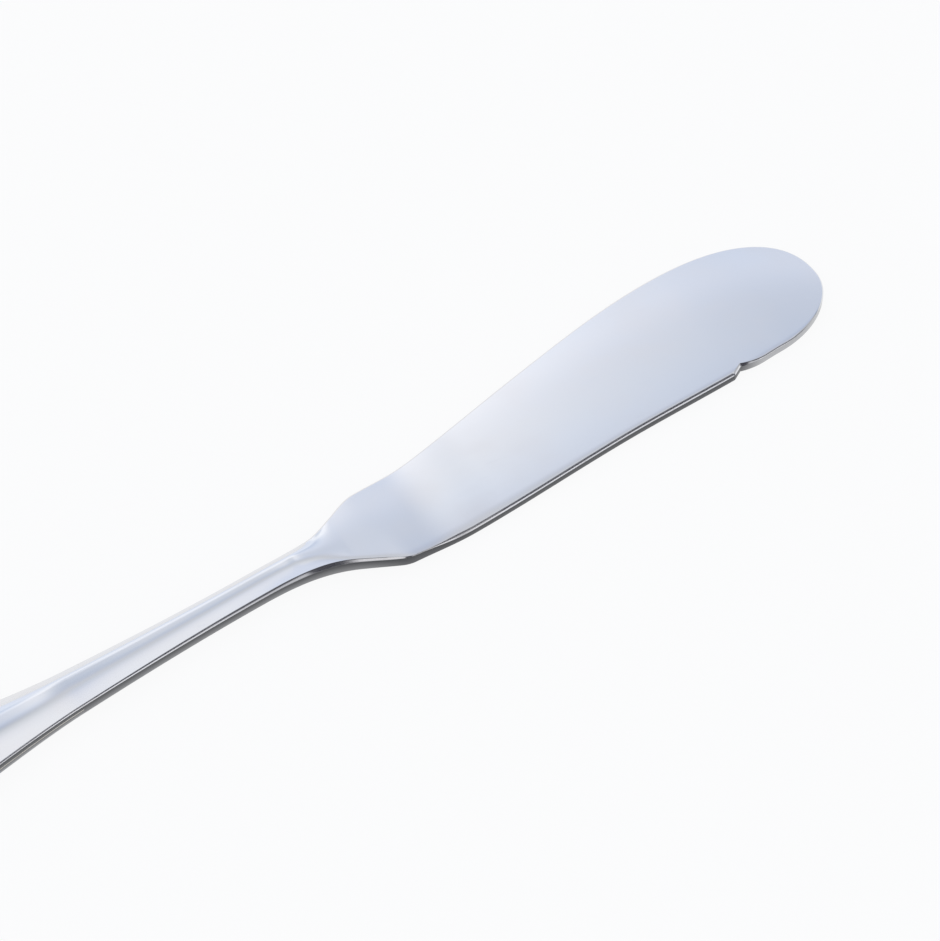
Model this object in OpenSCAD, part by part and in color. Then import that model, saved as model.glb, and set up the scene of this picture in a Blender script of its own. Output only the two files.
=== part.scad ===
// Butter knife: a forged blade and neck whose tang is cast into a hollow handle of two brazed shells.
// The knife lies flat. X runs from the butt to the tip, Y from the edge to the spine, Z up from the table.
// The outlines are worked out along X from the heel corner, with Y from the handle's centreline.

/* [Blade outline] */
// Length of the blade from the heel corner to the tip
blade_len = 76.5; // [64:0.5:95]
// Rise of the spine above the centreline at its widest
spine_rise = 12.25; // [9.5:0.25:15]
// Distance from the tip back to the widest part of the spine
spine_peak_back = 21.4; // [17:0.2:26]
// Rise of the spine halfway along its straight stretch
spine_mid_rise = 9.35; // [7.6:0.05:10]
// Distance from the heel to the middle of that stretch
spine_mid_ahead = 30; // [22:1:38]
// Rise of the spine where it leaves the shoulder
spine_start_rise = 5.6; // [4.6:0.05:6.5]
// Distance from the heel to the place where the spine leaves the shoulder
spine_start_ahead = 8; // [5:0.5:12]
// Rise of the shoulder above the centreline
shoulder_rise = 5.2; // [4:0.05:6]
// Distance from the heel corner back to the shoulder
shoulder_back = 1.2; // [0.4:0.1:3]
// Depth of the heel corner below the centreline
heel_depth = 8.05; // [6.5:0.05:9.5]
// Half the length of the rounding on the heel corner
heel_round = 1.1; // [0.5:0.1:2]
// Depth of the edge at its belly, just past the heel
belly_depth = 8.85; // [8:0.05:11]
// Distance from the heel to the belly
belly_ahead = 10.5; // [7:0.5:15]
// Depth of the edge at its slight hollow
hollow_depth = 8.1; // [7:0.05:9.5]
// Distance from the heel to the hollow
hollow_ahead = 40; // [30:1:48]
// Depth of the edge at its lip, where the nick begins
lip_depth = 8.28; // [7.2:0.01:9.6]
// Depth of the tip's lower side, where its rounding begins
tip_depth = 8; // [7:0.05:9.5]
// Distance from the tip back to the start of its lower rounding
tip_round_back = 11.9; // [9:0.1:13]
// How far the very tip lies below the centreline
tip_drop = 0.1; // [-1:0.05:2]
// Fullness of the tip's upper curve, 2 being an ellipse
tip_fullness = 2.3; // [2:0.05:2.8]
// Fullness of the tip's lower curve
low_fullness = 2.05; // [2:0.05:2.6]

/* [Edge nick] */
// Distance from the tip back to the start of the nick
nick_back = 20.3; // [17:0.1:24]
// Depth of the nick
nick_depth = 0.75; // [0.3:0.05:1.2]
// Length of the nick's steep side
nick_rise_len = 1.5; // [0.8:0.1:2.5]
// Length of the nick's easy side
nick_fall_len = 4; // [2:0.1:5]

/* [Thickness] */
// Height of the blade's edge arris
edge_t = 1.72; // [1.2:0.02:2.4]
// Height of the blade's spine arris
spine_t = 1.5; // [0.9:0.02:2]
// Crown of the blade's face above the line between both arrises
blade_crown = 0.3; // [0.1:0.02:0.6]
// Height of the heel's arris
heel_t = 1.9; // [1.5:0.05:2.6]
// Height of the waist's arris
waist_t = 2.5; // [2:0.05:3.2]
// Height of the neck's arris where it meets the handle
mouth_t = 2.75; // [2.6:0.05:3.6]
// Height of the handle's arris at its widest
handle_t = 3.4; // [2.8:0.05:4.4]
// Crown of the waist above its arris
waist_crown = 1; // [0.6:0.05:1.6]
// Crown of the neck where it meets the handle
mouth_crown = 0.95; // [0.7:0.05:1.6]
// Crown of the handle at its widest
handle_crown = 2.9; // [2:0.05:3.6]
// Radius of the arris round the face
face_round = 0.28; // [0.15:0.01:0.4]
// Radius of the lower edge of the blade
blade_under_round = 0.3; // [0.2:0.01:0.5]
// Radius of the lower edge of the handle
handle_under_round = 0.75; // [0.4:0.05:0.9]
// Radius of the lower edge of the neck at its waist
neck_under_round = 0.45; // [0.3:0.05:0.8]
// How far the neck stands off the table
neck_lift = 0.15; // [0.05:0.01:0.4]
// Metal ground off the underside to make it flat
ground_off = 0.12; // [0.05:0.01:0.2]

/* [Neck] */
// Length of the neck from the heel corner to the handle's mouth
neck_len = 50.5; // [42:0.5:60]
// Distance from the heel to the waist of the neck
waist_back = 21; // [16:0.5:28]
// Width of the neck at its waist
waist_w = 4.5; // [3.2:0.1:5.5]
// Width of the neck at the handle's mouth
mouth_w = 6.4; // [5.6:0.1:7.5]
// Distance from the heel back to the start of the flare on the spine side
flare_back = 11.2; // [9:0.1:14]
// How far the spine side draws in between the waist and the flare
flare_pinch = 0.12; // [0:0.01:0.3]
// Crown of the neck at the start of the flare
flare_crown = 0.6; // [0.4:0.02:1.2]
// Distance from the heel back to the middle of that flare
flare_mid_back = 6; // [4.5:0.1:7.5]
// Rise of the spine side at the middle of that flare
flare_mid_rise = 3.6; // [2.8:0.05:4]
// Distance from the heel back to the start of the straight flank on the edge side
flank_back = 6; // [4:0.1:8]
// Depth of the edge side at the start of that flank
flank_depth = 4.95; // [4:0.05:6]

/* [Handle] */
// Length of the hollow handle from its mouth to the butt
handle_len = 45; // [36:0.5:60]
// Width of the handle at its widest
handle_w = 13; // [10:0.2:16]
// Distance from the butt to the widest place
handle_peak_ahead = 12; // [9:0.5:16]
// Fullness of the butt's rounding, 2 being an ellipse
butt_fullness = 2.2; // [2:0.05:2.8]
// Sheet thickness of the shells
shell_wall = 0.6; // [0.4:0.05:0.65]
// Thickness of the braze in the seam
braze_t = 0.12; // [0.05:0.01:0.2]

/* [Tang] */
// Length of the spigot that seats in the handle's mouth
spigot_len = 6.5; // [4:0.5:9]
// Length of the tang from the handle's mouth
tang_len = 31; // [22:0.5:35]
// Width of the tang at its root
tang_w = 2.8; // [2:0.1:3.4]
// Width of the tang at its end
tang_end_w = 2.2; // [1.6:0.1:2.8]
// Thickness of the tang
tang_t = 1.4; // [1:0.1:1.6]
// Number of keying notches along the tang
notch_count = 3; // [1:1:4]
// Depth of a keying notch
notch_depth = 0.45; // [0.2:0.05:0.6]
// Length of a keying notch at its bottom
notch_len = 1.6; // [0.8:0.1:2.2]
// Length of each sloped side of a notch
notch_slope = 0.6; // [0.3:0.1:1]
// Gap left round the spigot and by the filler as it sets
fit_gap = 0.05; // [0.03:0.01:0.1]

/* [Hidden] */

// Points round a section: a side from its underside to its face, the face between the sides, the underside
side_steps = 3;
side_points = 2 * (side_steps + 1);
face_points = 9;
under_points = 3;
ring_points = 2 * side_points + face_points + under_points;
// Stations along the knife
plain_step = 2.6;
fine_step = 0.75;
end_stations = 18;
nick_stations = 4;
least_step = 0.02;
slope_step = 0.0005;
least_end = 0.001;
// Spare reach of the cut that flattens the underside
cut_spare = 1;

// Places along X, from the heel corner
tip_x = blade_len;
spine_peak_x = tip_x - spine_peak_back;
tip_round_x = tip_x - tip_round_back;
nick_x = tip_x - nick_back;
nick_top_x = nick_x + nick_rise_len;
nick_end_x = nick_top_x + nick_fall_len;
waist_x = -waist_back;
mouth_x = -neck_len;
butt_x = mouth_x - handle_len;
handle_peak_x = butt_x + handle_peak_ahead;
spigot_x = mouth_x - spigot_len;
tang_x = mouth_x - tang_len;

// Slopes of the outlines at their knots
flare_mid_slope = 0.4;
shoulder_slope = 0.06;
spine_start_slope = 0.14;
spine_mid_slope = 0.165;
flank_start_slope = -0.5;
mouth_slope = -0.055;
flank_slope = -(heel_depth - flank_depth) / flank_back;
belly_slope = -(belly_depth - heel_depth) / belly_ahead;

// Knots of the outlines as place, value and slope
spine_knots = [
    [handle_peak_x, handle_w / 2, 0],
    [mouth_x, mouth_w / 2, mouth_slope],
    [waist_x, waist_w / 2, 0],
    [-flare_back, waist_w / 2 - flare_pinch, 0],
    [-flare_mid_back, flare_mid_rise, flare_mid_slope],
    [-shoulder_back, shoulder_rise, shoulder_slope],
    [spine_start_ahead, spine_start_rise, spine_start_slope],
    [spine_mid_ahead, spine_mid_rise, spine_mid_slope],
    [spine_peak_x, spine_rise, 0],
];
edge_knots = [
    [handle_peak_x, -handle_w / 2, 0],
    [mouth_x, -mouth_w / 2, -mouth_slope],
    [waist_x, -waist_w / 2, 0],
    [-flank_back, -flank_depth, flank_start_slope],
    [-heel_round, -heel_depth - flank_slope * heel_round, flank_slope],
    [heel_round, -heel_depth + belly_slope * heel_round, belly_slope],
    [belly_ahead, -belly_depth, 0],
    [hollow_ahead, -hollow_depth, 0],
    [nick_x, -lip_depth, 0],
    [tip_round_x, -tip_depth, 0],
];

// Knots of the heights as place and value, with their slopes taken from the neighbours
edge_top_knots = [
    [handle_peak_x, handle_t], [mouth_x, mouth_t], [waist_x, waist_t],
    [-flank_back, (waist_t + heel_t) / 2], [0, heel_t], [belly_ahead, edge_t], [tip_x, edge_t],
];
spine_top_knots = [
    [handle_peak_x, handle_t], [mouth_x, mouth_t], [waist_x, waist_t],
    [-flank_back, (waist_t + heel_t) / 2], [0, heel_t], [spine_mid_ahead, spine_t], [tip_x, spine_t],
];
crown_knots = [
    [handle_peak_x, handle_crown], [mouth_x, mouth_crown], [waist_x, waist_crown],
    [-flare_back, flare_crown], [-shoulder_back, blade_crown], [tip_x, blade_crown],
];
under_knots = [
    [handle_peak_x, 0], [mouth_x, neck_lift / 2], [waist_x, neck_lift],
    [-flank_back, -ground_off / 2], [heel_round, -ground_off], [tip_x, -ground_off],
];
under_round_knots = [
    [handle_peak_x, handle_under_round], [mouth_x, handle_under_round], [waist_x, neck_under_round],
    [heel_round, blade_under_round], [tip_x, blade_under_round],
];

// Cubic between two knots, through their values and slopes
function cubic(x, a, b, slope_a, slope_b) =
    let (run = b[0] - a[0])
    let (t = (x - a[0]) / run)
    a[1] + (b[1] - a[1]) * (3 - 2 * t) * t * t
    + run * (slope_a * t * (1 - t) * (1 - t) - slope_b * t * t * (1 - t));

// Slope of a curve at a knot: its own, or that between its neighbours
function knot_slope(knots, i) =
    let (a = knots[max(i - 1, 0)], b = knots[min(i + 1, len(knots) - 1)])
    len(knots[i]) > 2 ? knots[i][2] : (b[1] - a[1]) / (b[0] - a[0]);

// Value at x of the smooth curve through a list of knots, level beyond its ends
function along(knots, x) =
    let (last = len(knots) - 1)
    x <= knots[0][0] ? knots[0][1]
    : x >= knots[last][0] ? knots[last][1]
    : let (i = max([for (k = [0 : last - 1]) if (knots[k][0] <= x) k]))
      cubic(x, knots[i], knots[i + 1], knot_slope(knots, i), knot_slope(knots, i + 1));

// Share of the full width left at a fraction of the way to a rounded end
function rounded_share(fraction, fullness) =
    pow(max(1 - pow(min(max(fraction, 0), 1), fullness), 0), 1 / fullness);

// Share of the handle's width left in the rounding of the butt
function butt_share(x) = rounded_share((handle_peak_x - x) / handle_peak_ahead, butt_fullness);

// Lift of the edge inside the nick
function nick_lift(x) =
    x <= nick_x || x >= nick_end_x ? 0
    : x <= nick_top_x ? nick_depth * (x - nick_x) / nick_rise_len
    : nick_depth * pow((nick_end_x - x) / nick_fall_len, 2);

// Spine side and edge side of the outline at x
function spine_y(x) =
    x < handle_peak_x ? handle_w / 2 * butt_share(x)
    : x <= spine_peak_x ? along(spine_knots, x)
    : (spine_rise + tip_drop) * rounded_share((x - spine_peak_x) / spine_peak_back, tip_fullness) - tip_drop;
function edge_y(x) =
    x < handle_peak_x ? -handle_w / 2 * butt_share(x)
    : x <= tip_round_x ? along(edge_knots, x) + nick_lift(x)
    : (tip_drop - tip_depth) * rounded_share((x - tip_round_x) / tip_round_back, low_fullness)
      - tip_drop + nick_lift(x);

// Outward direction of the outline in the rounded ends, given its slope; across the knife elsewhere
function outward(x, slope, side) =
    x <= butt_x + least_end ? [-1, 0]
    : x >= tip_x - least_end ? [1, 0]
    : [-slope * side, side] / sqrt(1 + slope * slope);
function end_slope(low, high) = (high - low) / (2 * slope_step);
function spine_out(x) =
    x >= handle_peak_x && x <= spine_peak_x ? [0, 1]
    : outward(x, end_slope(spine_y(x - slope_step), spine_y(x + slope_step)), 1);
function edge_out(x) =
    x >= handle_peak_x && x <= tip_round_x ? [0, -1]
    : outward(x, end_slope(edge_y(x - slope_step), edge_y(x + slope_step)), -1);

// Plan point on one side of the outline, moved inwards
function spine_at(x, inset) = [x, spine_y(x)] - inset * spine_out(x);
function edge_at(x, inset) = [x, edge_y(x)] - inset * edge_out(x);

// Share of the crown left where the outline closes in at the ends
function crown_share(x) =
    x < handle_peak_x ? butt_share(x)
    : x > spine_peak_x ? (spine_y(x) - edge_y(x)) / (spine_rise - edge_y(spine_peak_x))
    : 1;
function crown_at(x) = along(crown_knots, x) * crown_share(x);

// Turn of the face's arris, which ends where the crown begins
function arris_turn(x) = 90 - atan(4 * crown_at(x) / max(spine_y(x) - edge_y(x), waist_w));

// Corner rounding as pairs of inset and height: under a side, and over it
function under_corner(x) =
    let (r = along(under_round_knots, x), base = along(under_knots, x))
    [for (k = [0 : side_steps]) let (a = 90 * k / side_steps) [r * (1 - sin(a)), base + r * (1 - cos(a))]];
function face_corner(x, top) =
    let (turn = arris_turn(x), r = face_round)
    [for (k = [0 : side_steps]) let (a = turn * k / side_steps) [r * (1 - cos(a)), top - r + r * sin(a)]];

// The four runs of a section, inset all round, with its underside raised and its face lowered by that inset
function edge_side(x, inset) =
    let (low = under_corner(x), high = face_corner(x, along(edge_top_knots, x)))
    concat(
        [for (c = low) concat(edge_at(x, c[0] + inset), c[1] + inset)],
        [for (c = high) concat(edge_at(x, c[0] + inset), c[1] - inset)]);
function spine_side(x, inset) =
    let (low = under_corner(x), high = face_corner(x, along(spine_top_knots, x)))
    concat(
        [for (k = [side_steps : -1 : 0]) concat(spine_at(x, high[k][0] + inset), high[k][1] - inset)],
        [for (k = [side_steps : -1 : 0]) concat(spine_at(x, low[k][0] + inset), low[k][1] + inset)]);
function between(a, b, count, bulge) =
    [for (k = [1 : count]) let (v = k / (count + 1)) a + (b - a) * v + [0, 0, 4 * bulge * v * (1 - v)]];
function face_run(x, inset) =
    between(edge_side(x, inset)[side_points - 1], spine_side(x, inset)[0], face_points, crown_at(x));
function under_run(x, inset) =
    between(spine_side(x, inset)[side_points - 1], edge_side(x, inset)[0], under_points, 0);

// Whole section of the knife at x
function section(x, inset = 0) =
    concat(edge_side(x, inset), face_run(x, inset), spine_side(x, inset), under_run(x, inset));

// Section of a straight bar, with its points in the same order
function bar_section(x, half, low, high) =
    let (rise = (high - low) / (side_points - 1))
    concat(
        [for (k = [0 : side_points - 1]) [x, -half, low + k * rise]],
        between([x, -half, high], [x, half, high], face_points, 0),
        [for (k = [0 : side_points - 1]) [x, half, high - k * rise]],
        between([x, half, low], [x, -half, low], under_points, 0));

// Index of each point of a section where the section has closed to an upright line
section_tail = [
    for (k = [0 : ring_points - 1])
        k < side_points ? k
        : k < side_points + face_points ? side_points - 1
        : k < 2 * side_points + face_points ? 2 * side_points + face_points - 1 - k
        : 0
];

// Numbers in rising order, without repeats
function sorted(v) =
    len(v) < 2 ? v
    : let (pivot = v[floor(len(v) / 2)])
      concat(sorted([for (a = v) if (a < pivot) a]), [pivot], sorted([for (a = v) if (a > pivot) a]));
function spaced(v) =
    let (s = sorted(v))
    let (last = len(s) - 1)
    [for (i = [0 : last]) if (i == 0 || i == last || s[i + 1] - s[i] > least_step) s[i]];

// Even stations between two places, and stations that crowd towards a rounded end
function even(a, b, step) = let (n = max(ceil((b - a) / step), 1)) [for (k = [0 : n]) a + (b - a) * k / n];
function crowded(start, end) =
    [for (k = [0 : end_stations]) end + (start - end) * pow(1 - k / end_stations, 2)];

// Stations of the blade and neck from the handle's mouth to the tip, and of the handle from mouth to butt
blade_stations = spaced(concat(
    even(mouth_x, -flare_back, plain_step),
    even(-flare_back, belly_ahead, fine_step),
    even(belly_ahead, nick_x, plain_step),
    even(nick_x, nick_top_x, nick_rise_len / nick_stations),
    even(nick_top_x, nick_end_x, fine_step),
    even(nick_end_x, tip_round_x, fine_step),
    [spine_peak_x],
    crowded(tip_round_x, tip_x)));
handle_rise = spaced(concat(
    crowded(handle_peak_x, butt_x),
    even(handle_peak_x, mouth_x, plain_step)));
handle_stations = [for (i = [len(handle_rise) - 1 : -1 : 0]) handle_rise[i]];

// Half width of the tang at x, with its keying notches
notch_pitch = (tang_len - spigot_len) / (notch_count + 1);
notch_span = notch_len / 2 + notch_slope;
function notch_cut(x, middle) =
    let (away = abs(x - middle) - notch_len / 2)
    away <= 0 ? notch_depth
    : away >= notch_slope ? 0
    : notch_depth * (1 - away / notch_slope);
notch_middles = [for (k = [1 : notch_count]) spigot_x - k * notch_pitch];
function tang_half(x) =
    let (run = (spigot_x - x) / (spigot_x - tang_x))
    (tang_w + (tang_end_w - tang_w) * run) / 2 - max([for (m = notch_middles) notch_cut(x, m)]);
tang_rise = spaced(concat(
    [tang_x, spigot_x],
    [for (m = notch_middles, d = [-notch_span, -notch_len / 2, notch_len / 2, notch_span]) m + d]));
tang_count = len(tang_rise);
// Height of the tang's middle, which lies low enough to clear the sloping crown of the mouth
tang_z = (neck_lift / 2 + mouth_t) / 2 + mouth_crown / 4;

// Section of the tang at x, grown all round by a gap
function tang_section(x, grow = 0) =
    bar_section(x, tang_half(x) + grow, tang_z - tang_t / 2 - grow, tang_z + tang_t / 2 + grow);

// A ring of points moved square to X at another place
function moved_to(ring, x) = [for (p = ring) [x, p[1], p[2]]];

// Triangles of a band between two rings, given the index of each ring's points
function band(a, b) =
    let (n = len(a))
    [
        for (k = [0 : n - 1])
            let (m = (k + 1) % n)
            each [for (f = [[a[k], a[m], b[m]], [a[k], b[m], b[k]]])
                if (f[0] != f[1] && f[1] != f[2] && f[2] != f[0]) f]
    ];
function fan(ring, centre) =
    let (n = len(ring))
    [for (k = [0 : n - 1]) [centre, ring[(k + 1) % n], ring[k]]];
function mean(ring) = [for (p = ring) 1] * ring / len(ring);
function turned(faces) = [for (f = faces) [f[2], f[1], f[0]]];

// Closed skin over rings of equal count. The first ring is closed by a fan, or by a strip where its two
// halves lie face to face. The last ring closes on itself by its tail indices, or by a fan without them.
module skin(rings, tail = [], strip = false, flip = false) {
    n = len(rings[0]);
    last = len(rings) - 1;
    points = concat([for (r = rings) each r], [mean(rings[0]), mean(rings[last])]);
    index = [
        for (i = [0 : last])
            [for (k = [0 : n - 1]) i * n + (i == last && len(tail) > 0 ? tail[k] : k)]
    ];
    centre = (last + 1) * n;
    first_cap = strip
        ? [for (k = [0 : n / 2 - 2]) each [[k + 1, k, n - 1 - k], [k + 1, n - 1 - k, n - 2 - k]]]
        : fan(index[0], centre);
    last_cap = len(tail) > 0 ? [] : turned(fan(index[last], centre + 1));
    faces = concat(first_cap, last_cap, [for (i = [0 : last - 1]) each band(index[i], index[i + 1])]);
    polyhedron(points, flip ? turned(faces) : faces);
}

// Puts the knife's own frame at the middle of the box that the knife fills
lowest_y = -max(belly_depth, hollow_depth, lip_depth, tip_depth, handle_w / 2);
highest_y = max(spine_rise, handle_w / 2);
module placed() {
    translate([-(tip_x + butt_x) / 2, -(highest_y + lowest_y) / 2, 0])
        children();
}

// Blade, neck, spigot and tang, forged in one piece and ground flat underneath
module blade() {
    spigot = section(mouth_x, shell_wall + fit_gap);
    rings = concat(
        [for (x = tang_rise) tang_section(x)],
        [moved_to(spigot, spigot_x), spigot],
        [for (x = blade_stations) section(x)]);
    color("gainsboro")
        placed()
            difference() {
                skin(rings, section_tail);
                translate([mouth_x, lowest_y - cut_spare, -cut_spare])
                    cube([tip_x - mouth_x + cut_spare, highest_y - lowest_y + 2 * cut_spare, cut_spare]);
            }
}

// Strip of a section above the seam or below it, from the edge side to the spine side
function upper_strip(x, inset, seam) =
    let (e = edge_side(x, inset), s = spine_side(x, inset))
    concat(
        [concat(edge_at(x, inset), seam)],
        [for (k = [side_steps + 1 : side_points - 1]) e[k]],
        face_run(x, inset),
        [for (k = [0 : side_steps]) s[k]],
        [concat(spine_at(x, inset), seam)]);
function lower_strip(x, inset, seam) =
    let (e = edge_side(x, inset), s = spine_side(x, inset))
    concat(
        [concat(edge_at(x, inset), seam)],
        [for (k = [side_steps : -1 : 0]) e[k]],
        [for (k = [under_points - 1 : -1 : 0]) under_run(x, inset)[k]],
        [for (k = [side_points - 1 : -1 : side_steps + 1]) s[k]],
        [concat(spine_at(x, inset), seam)]);
function reversed(v) = [for (i = [len(v) - 1 : -1 : 0]) v[i]];

// Tail of a shell's ring: each strip folds onto its own first points, the inner one being stored in reverse
function strip_tail(count, arm, offset) =
    [for (k = [0 : count - 1]) offset + min(k, count - 1 - k, arm)];
function shell_tail(count) =
    concat(strip_tail(count, side_steps + 1, 0), strip_tail(count, side_steps + 1, count));

// Height of the seam between the shells: midway between the rounded lower edge and the arris at the mouth
seam_z = (neck_lift / 2 + handle_under_round + mouth_t - face_round) / 2;
upper_count = 2 * (side_steps + 2) + face_points;
lower_count = 2 * (side_steps + 2) + under_points;

// Pressed upper half of the handle
module upper_handle_shell() {
    seam = seam_z + braze_t / 2;
    rings = [
        for (x = handle_stations)
            concat(upper_strip(x, 0, seam), reversed(upper_strip(x, shell_wall, seam)))
    ];
    color("silver")
        placed()
            skin(rings, shell_tail(upper_count), strip = true, flip = true);
}

// Pressed lower half of the handle
module lower_handle_shell() {
    seam = seam_z - braze_t / 2;
    rings = [
        for (x = handle_stations)
            concat(lower_strip(x, 0, seam), reversed(lower_strip(x, shell_wall, seam)))
    ];
    color("darkgray")
        placed()
            skin(rings, shell_tail(lower_count), strip = true);
}

// Ribbon of braze between the rims of the shells, from the mouth round the butt and back
module seam_braze() {
    low = seam_z - braze_t / 2;
    high = seam_z + braze_t / 2;
    outline = concat(
        [for (x = handle_stations) [edge_at(x, 0), edge_at(x, shell_wall)]],
        [for (x = handle_rise) if (x > butt_x) [spine_at(x, 0), spine_at(x, shell_wall)]]);
    rings = [
        for (p = outline)
            [concat(p[0], low), concat(p[0], high), concat(p[1], high), concat(p[1], low)]
    ];
    color("goldenrod")
        placed()
            skin(rings, flip = true);
}

// Resin cast round the tang, which fills the shells behind the spigot
module handle_filler() {
    inset = shell_wall + fit_gap;
    front_x = spigot_x - fit_gap;
    inside = [for (x = handle_stations) if (x < front_x - least_step) x];
    pocket = concat(
        [moved_to(tang_section(tang_x, fit_gap), tang_x - fit_gap)],
        [for (i = [1 : tang_count - 2]) tang_section(tang_rise[i], fit_gap)],
        [moved_to(tang_section(spigot_x, fit_gap), front_x)]);
    rings = concat(
        pocket,
        [section(front_x, inset)],
        [for (x = inside) section(x, inset)]);
    color("tan")
        placed()
            skin(rings, section_tail, flip = true);
}

blade();
upper_handle_shell();
lower_handle_shell();
seam_braze();
handle_filler();
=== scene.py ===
"""Butter knife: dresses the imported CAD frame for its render.

Lengths are in metres. X runs from the butt to the tip, Y from the edge to the spine and Z up from the table.
The outlines are worked out along X from the heel corner and along Y from the handle's centreline, and each
finished mesh is then moved into the frame of the part.
"""

import logging
import math
from dataclasses import dataclass, field
from enum import Enum
from typing import Any, NamedTuple, Optional, Sequence, Union

import bmesh
import bpy
import numpy as np
from mathutils import Matrix, Vector


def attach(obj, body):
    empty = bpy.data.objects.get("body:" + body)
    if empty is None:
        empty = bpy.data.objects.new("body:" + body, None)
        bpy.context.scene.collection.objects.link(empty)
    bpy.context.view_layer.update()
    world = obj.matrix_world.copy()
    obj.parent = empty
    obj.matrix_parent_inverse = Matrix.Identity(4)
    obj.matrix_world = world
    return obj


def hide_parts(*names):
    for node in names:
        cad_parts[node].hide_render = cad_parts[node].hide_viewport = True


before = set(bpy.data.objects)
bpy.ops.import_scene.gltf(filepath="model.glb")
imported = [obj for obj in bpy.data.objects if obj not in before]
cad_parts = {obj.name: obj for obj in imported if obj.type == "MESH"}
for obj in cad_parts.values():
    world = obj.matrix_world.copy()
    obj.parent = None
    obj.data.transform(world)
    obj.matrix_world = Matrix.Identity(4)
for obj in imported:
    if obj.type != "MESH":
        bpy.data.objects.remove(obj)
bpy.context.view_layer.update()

LOG = logging.getLogger("butter_knife")
BODY = "root"
MERGE_DISTANCE = 2e-7
# Point attribute that roughens the side walls and darkens their colour with painted shade
GROUND_AND_SHADE = "ground"
NOISE_MIDDLE = 0.5

Colour = tuple[float, float, float]
Span = tuple[float, float]
Value = Union["Wire", float]


def mm(length: float) -> float:
    """A length in millimetres, as metres."""
    return length * 0.001


class Half(Enum):
    """The two pressed halves of the handle."""

    UPPER = "upper_handle_shell"
    LOWER = "lower_handle_shell"


class Slot(Enum):
    """Material slots of the part's record."""

    BLADE = "blade_steel"
    HANDLE = "handle_steel"
    BRAZE = "braze"


# Node graphs


class Wire:
    """An output socket, with the arithmetic that shapes and finishes are written in."""

    def __init__(self, graph: "Graph", socket: bpy.types.NodeSocket) -> None:
        """Wraps a socket of a graph."""
        self.graph = graph
        self.socket = socket

    def __add__(self, other: Value) -> "Wire":
        """Sum."""
        return self.graph.maths("ADD", self, other)

    __radd__ = __add__

    def __sub__(self, other: Value) -> "Wire":
        """Difference."""
        return self.graph.maths("SUBTRACT", self, other)

    def __rsub__(self, other: Value) -> "Wire":
        """Difference from a number."""
        return self.graph.maths("SUBTRACT", other, self)

    def __mul__(self, other: Value) -> "Wire":
        """Product."""
        return self.graph.maths("MULTIPLY", self, other)

    __rmul__ = __mul__

    def __truediv__(self, other: Value) -> "Wire":
        """Quotient."""
        return self.graph.maths("DIVIDE", self, other)

    def __rtruediv__(self, other: Value) -> "Wire":
        """Quotient of a number."""
        return self.graph.maths("DIVIDE", other, self)

    def __pow__(self, other: Value) -> "Wire":
        """Power."""
        return self.graph.maths("POWER", self, other)

    def __gt__(self, other: Value) -> "Wire":
        """One where this is greater, else nought."""
        return self.graph.maths("GREATER_THAN", self, other)


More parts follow.
